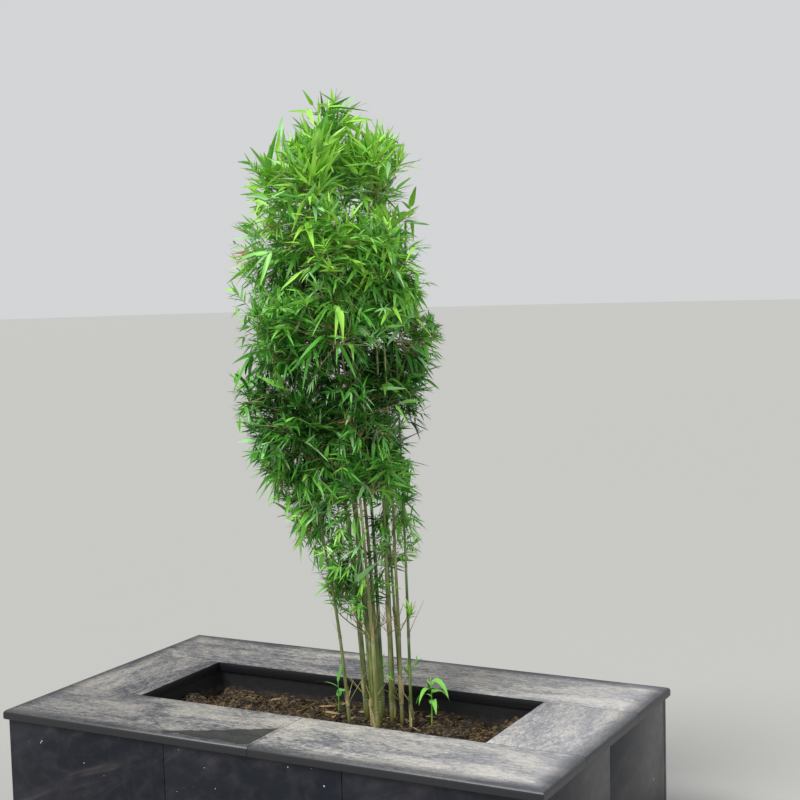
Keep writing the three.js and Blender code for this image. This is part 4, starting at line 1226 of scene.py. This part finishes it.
def soil_height(x, y):
    """The soil's broad shape, level where the clump stands."""
    away = np.hypot(x - CLUMP[0], y - CLUMP[1])
    large = np.sin(x / 71) * np.cos(y / 53 + x / 190)
    small = 0.6 * np.sin(x / 33 + y / 41)
    unsettled = SOIL_LUMP * (large + small) - SOIL_SETTLED
    return SOIL_LEVEL + eased(away, LEVEL_REACH, LEVEL_REACH + LEVEL_BLEND) * unsettled


def domes(x, y, rng):
    """Round lumps of coir side by side, the highest one at each place, with cracks between them."""
    size = rng.uniform(*LUMP_RADII, LUMPS)
    at = [rng.uniform(soil_low[axis], soil_high[axis], LUMPS) for axis in (0, 1)]
    squash = rng.uniform(0.65, 1.3, LUMPS)
    far = ((x[..., None] - at[0]) / squash) ** 2 + ((y[..., None] - at[1]) * squash) ** 2
    return np.max(LUMP_RISE * np.sqrt(np.maximum(size ** 2 - far, 0)), axis=-1) - SUNK


def crumbs(x, y, rng):
    """Fine unevenness of the soil from a few waves at random angles."""
    total = np.zeros_like(x)
    for wave in CRUMB_WAVES:
        turn, shift = rng.uniform(0, FULL_TURN, 2)
        run = (x * math.cos(turn) + y * math.sin(turn)) / wave
        total += wave * CRUMB_RISE * np.sin(run * FULL_TURN + shift)
    return total


def soil_mesh(columns, rows):
    """A closed block with a fine lumpy top."""
    xs, ys = (np.linspace(soil_low[a], soil_high[a], n + 1) for a, n in ((0, columns), (1, rows)))
    x, y = np.meshgrid(xs, ys)
    rng = np.random.default_rng(5)
    z = soil_height(x, y) + crumbs(x, y, rng) + domes(x, y, rng)
    top = np.stack([x, y, np.minimum(z, SOIL_CEILING)], -1).reshape(-1, 3)
    faces = grid_faces(rows, columns).tolist()
    grid = np.arange(len(top)).reshape(rows + 1, -1)
    rim = np.concatenate([grid[0, :-1], grid[:-1, -1], grid[-1, :0:-1], grid[:0:-1, 0]]).tolist()
    foot = top[rim].copy()
    foot[:, 2] = soil_low[2]
    start = len(top)
    for i, corner_index in enumerate(rim):
        following = (i + 1) % len(rim)
        faces.append([corner_index, start + i, start + following, rim[following]])
    faces.append([start + i for i in reversed(range(len(rim)))])
    return np.concatenate([top, foot]), faces


def brown_soil(name, colours, relief_mm):
    """Damp brown fibrous soil."""
    stops = list(zip((0.42, 0.5, 0.58, 0.7), colours))
    noise = {"Scale": 60.0, "Detail": 8.0, "Roughness": 0.7}
    return grained(name, 1.4, noise, stops, (0.95, 0.75), relief_mm)


earth = brown_soil("brown_coir_soil", ("#080605", "#271e14", "#54422c", "#917750"), 3)
piece("soil_surface", soil_mesh(SOIL_COLUMNS, SOIL_ROWS), earth, ["soil"])
print("soil:", SOIL_COLUMNS, "by", SOIL_ROWS, "cells with", LUMPS, "lumps")

# %% [markdown]
# Clods, loose fibres and fallen leaves lie on the surface. A clod is a ball pushed out of shape, a fibre
# is a thin bent tube, and a fallen leaf is the same blade as on the plant, flat and faded. The fallen
# leaves follow a spread of even steps, more of them near the clump, so that no two cross.

# %% Clods, fibres and fallen leaves
CLODS, CLOD_LEAST, CLOD_MORE, CLOD_EDGE = 900, 3, 13, 22
FIBRES, FIBRE_EDGE, FIBRE_LENGTHS, FIBRE_LIFTS, FIBRE_STATIONS = 2000, 32, (14, 56), (1, 15), 5
FIBRE_TAPER, FIBRE_RADII = np.array([[0.5, 1, 1, 0.9, 0.4]]), (0.4, 1.4)
LITTER, LITTER_EDGE, LITTER_LENGTHS, LITTER_RATIO, LITTER_RISE = 40, 70, (45, 80), 0.13, 9
EVEN_STEPS, NEAR_CLUMP = np.array([0.7549, 0.5698]), [0.4, 0.75]
clod_rng = np.random.default_rng(17)


def clod_shape():
    """A small round mesh to push out of shape: its points and faces."""
    bm = bmesh.new()
    bmesh.ops.create_icosphere(bm, subdivisions=2, radius=1)
    points = np.array([v.co for v in bm.verts])
    faces = np.array([[v.index for v in f.verts] for f in bm.faces])
    bm.free()
    return points, faces


def scatter_places(count, edge):
    """Random places on the soil, clear of its walls."""
    x = clod_rng.uniform(soil_low[0] + edge, soil_high[0] - edge, count)
    y = clod_rng.uniform(soil_low[1] + edge, soil_high[1] - edge, count)
    return np.stack([x, y, soil_height(x, y)], -1)


round_points, round_faces = clod_shape()
sizes = CLOD_LEAST + CLOD_MORE * clod_rng.uniform(0, 1, CLODS) ** 3
places = scatter_places(CLODS, CLOD_EDGE)
places[:, 2] += sizes * 0.25
stretch = clod_rng.uniform(0.6, 1.25, (CLODS, 1, 3)) * [1, 1, 0.75]
bumps = clod_rng.uniform(0.6, 1.25, (CLODS, len(round_points), 1))
clod_points = places[:, None] + round_points * bumps * stretch * sizes[:, None, None]
clod_faces = np.arange(CLODS)[:, None, None] * len(round_points) + round_faces
clods = clod_points.reshape(-1, 3), clod_faces.reshape(-1, 3).tolist()
piece("soil_clods", clods, earth, ["soil"])

fibre_places = scatter_places(FIBRES, FIBRE_EDGE)
turns = clod_rng.uniform(0, FULL_TURN, FIBRES)
runs = np.stack([np.cos(turns), np.sin(turns), clod_rng.normal(0, 0.12, FIBRES)], -1)
halves = runs * clod_rng.uniform(*FIBRE_LENGTHS, (FIBRES, 1)) / 2
lift = clod_rng.uniform(*FIBRE_LIFTS, FIBRES)
controls = fibre_places + clod_rng.normal(0, 9, (FIBRES, 3)) + np.stack([lift * 0, lift * 0, lift], -1)
curves = zip(fibre_places - halves, controls, fibre_places + halves)
fibre_paths = np.array([bend(start, control, end, FIBRE_STATIONS) for start, control, end in curves])
thickness = clod_rng.uniform(*FIBRE_RADII, (FIBRES, 1)) * FIBRE_TAPER
coir = brown_soil("coir_fibre", ("#382c1c", "#655233", "#947e56", "#c0ab80"), 0.5)
piece("soil_fibres", tubes(fibre_paths, thickness, 3), coir, ["soil"])

litter = []
for k in range(LITTER):
    share = (k * EVEN_STEPS + 0.31) % 1
    x, y = soil_low[:2] + LITTER_EDGE + (soil_high[:2] - soil_low[:2] - 2 * LITTER_EDGE) * share
    if k < LITTER / 2:
        x, y = CLUMP[:2] + (np.array([x, y]) - CLUMP[:2]) * NEAR_CLUMP
    turn = k * GOLDEN + clod_rng.uniform(0, 0.9)
    length = clod_rng.uniform(*LITTER_LENGTHS)
    litter.append({"root": np.array([x, y, soil_height(x, y) + LITTER_RISE]), "length": length,
                   "along": heading(turn, 0.04), "width": length * LITTER_RATIO,
                   "droop": 0.05, "roll": 0.2, "twist": clod_rng.normal(0, 0.8), "fold": 0.5})
faded = new_material("faded_leaf", {"Base Color": linear("#8f7a54"), "Roughness": 0.8, "IOR": 1.4})
piece("leaf_litter", blades(litter, LONG["stations"]), faded, ["soil"])
print("soil:", CLODS, "clods,", FIBRES, "fibres and", LITTER, "fallen leaves")
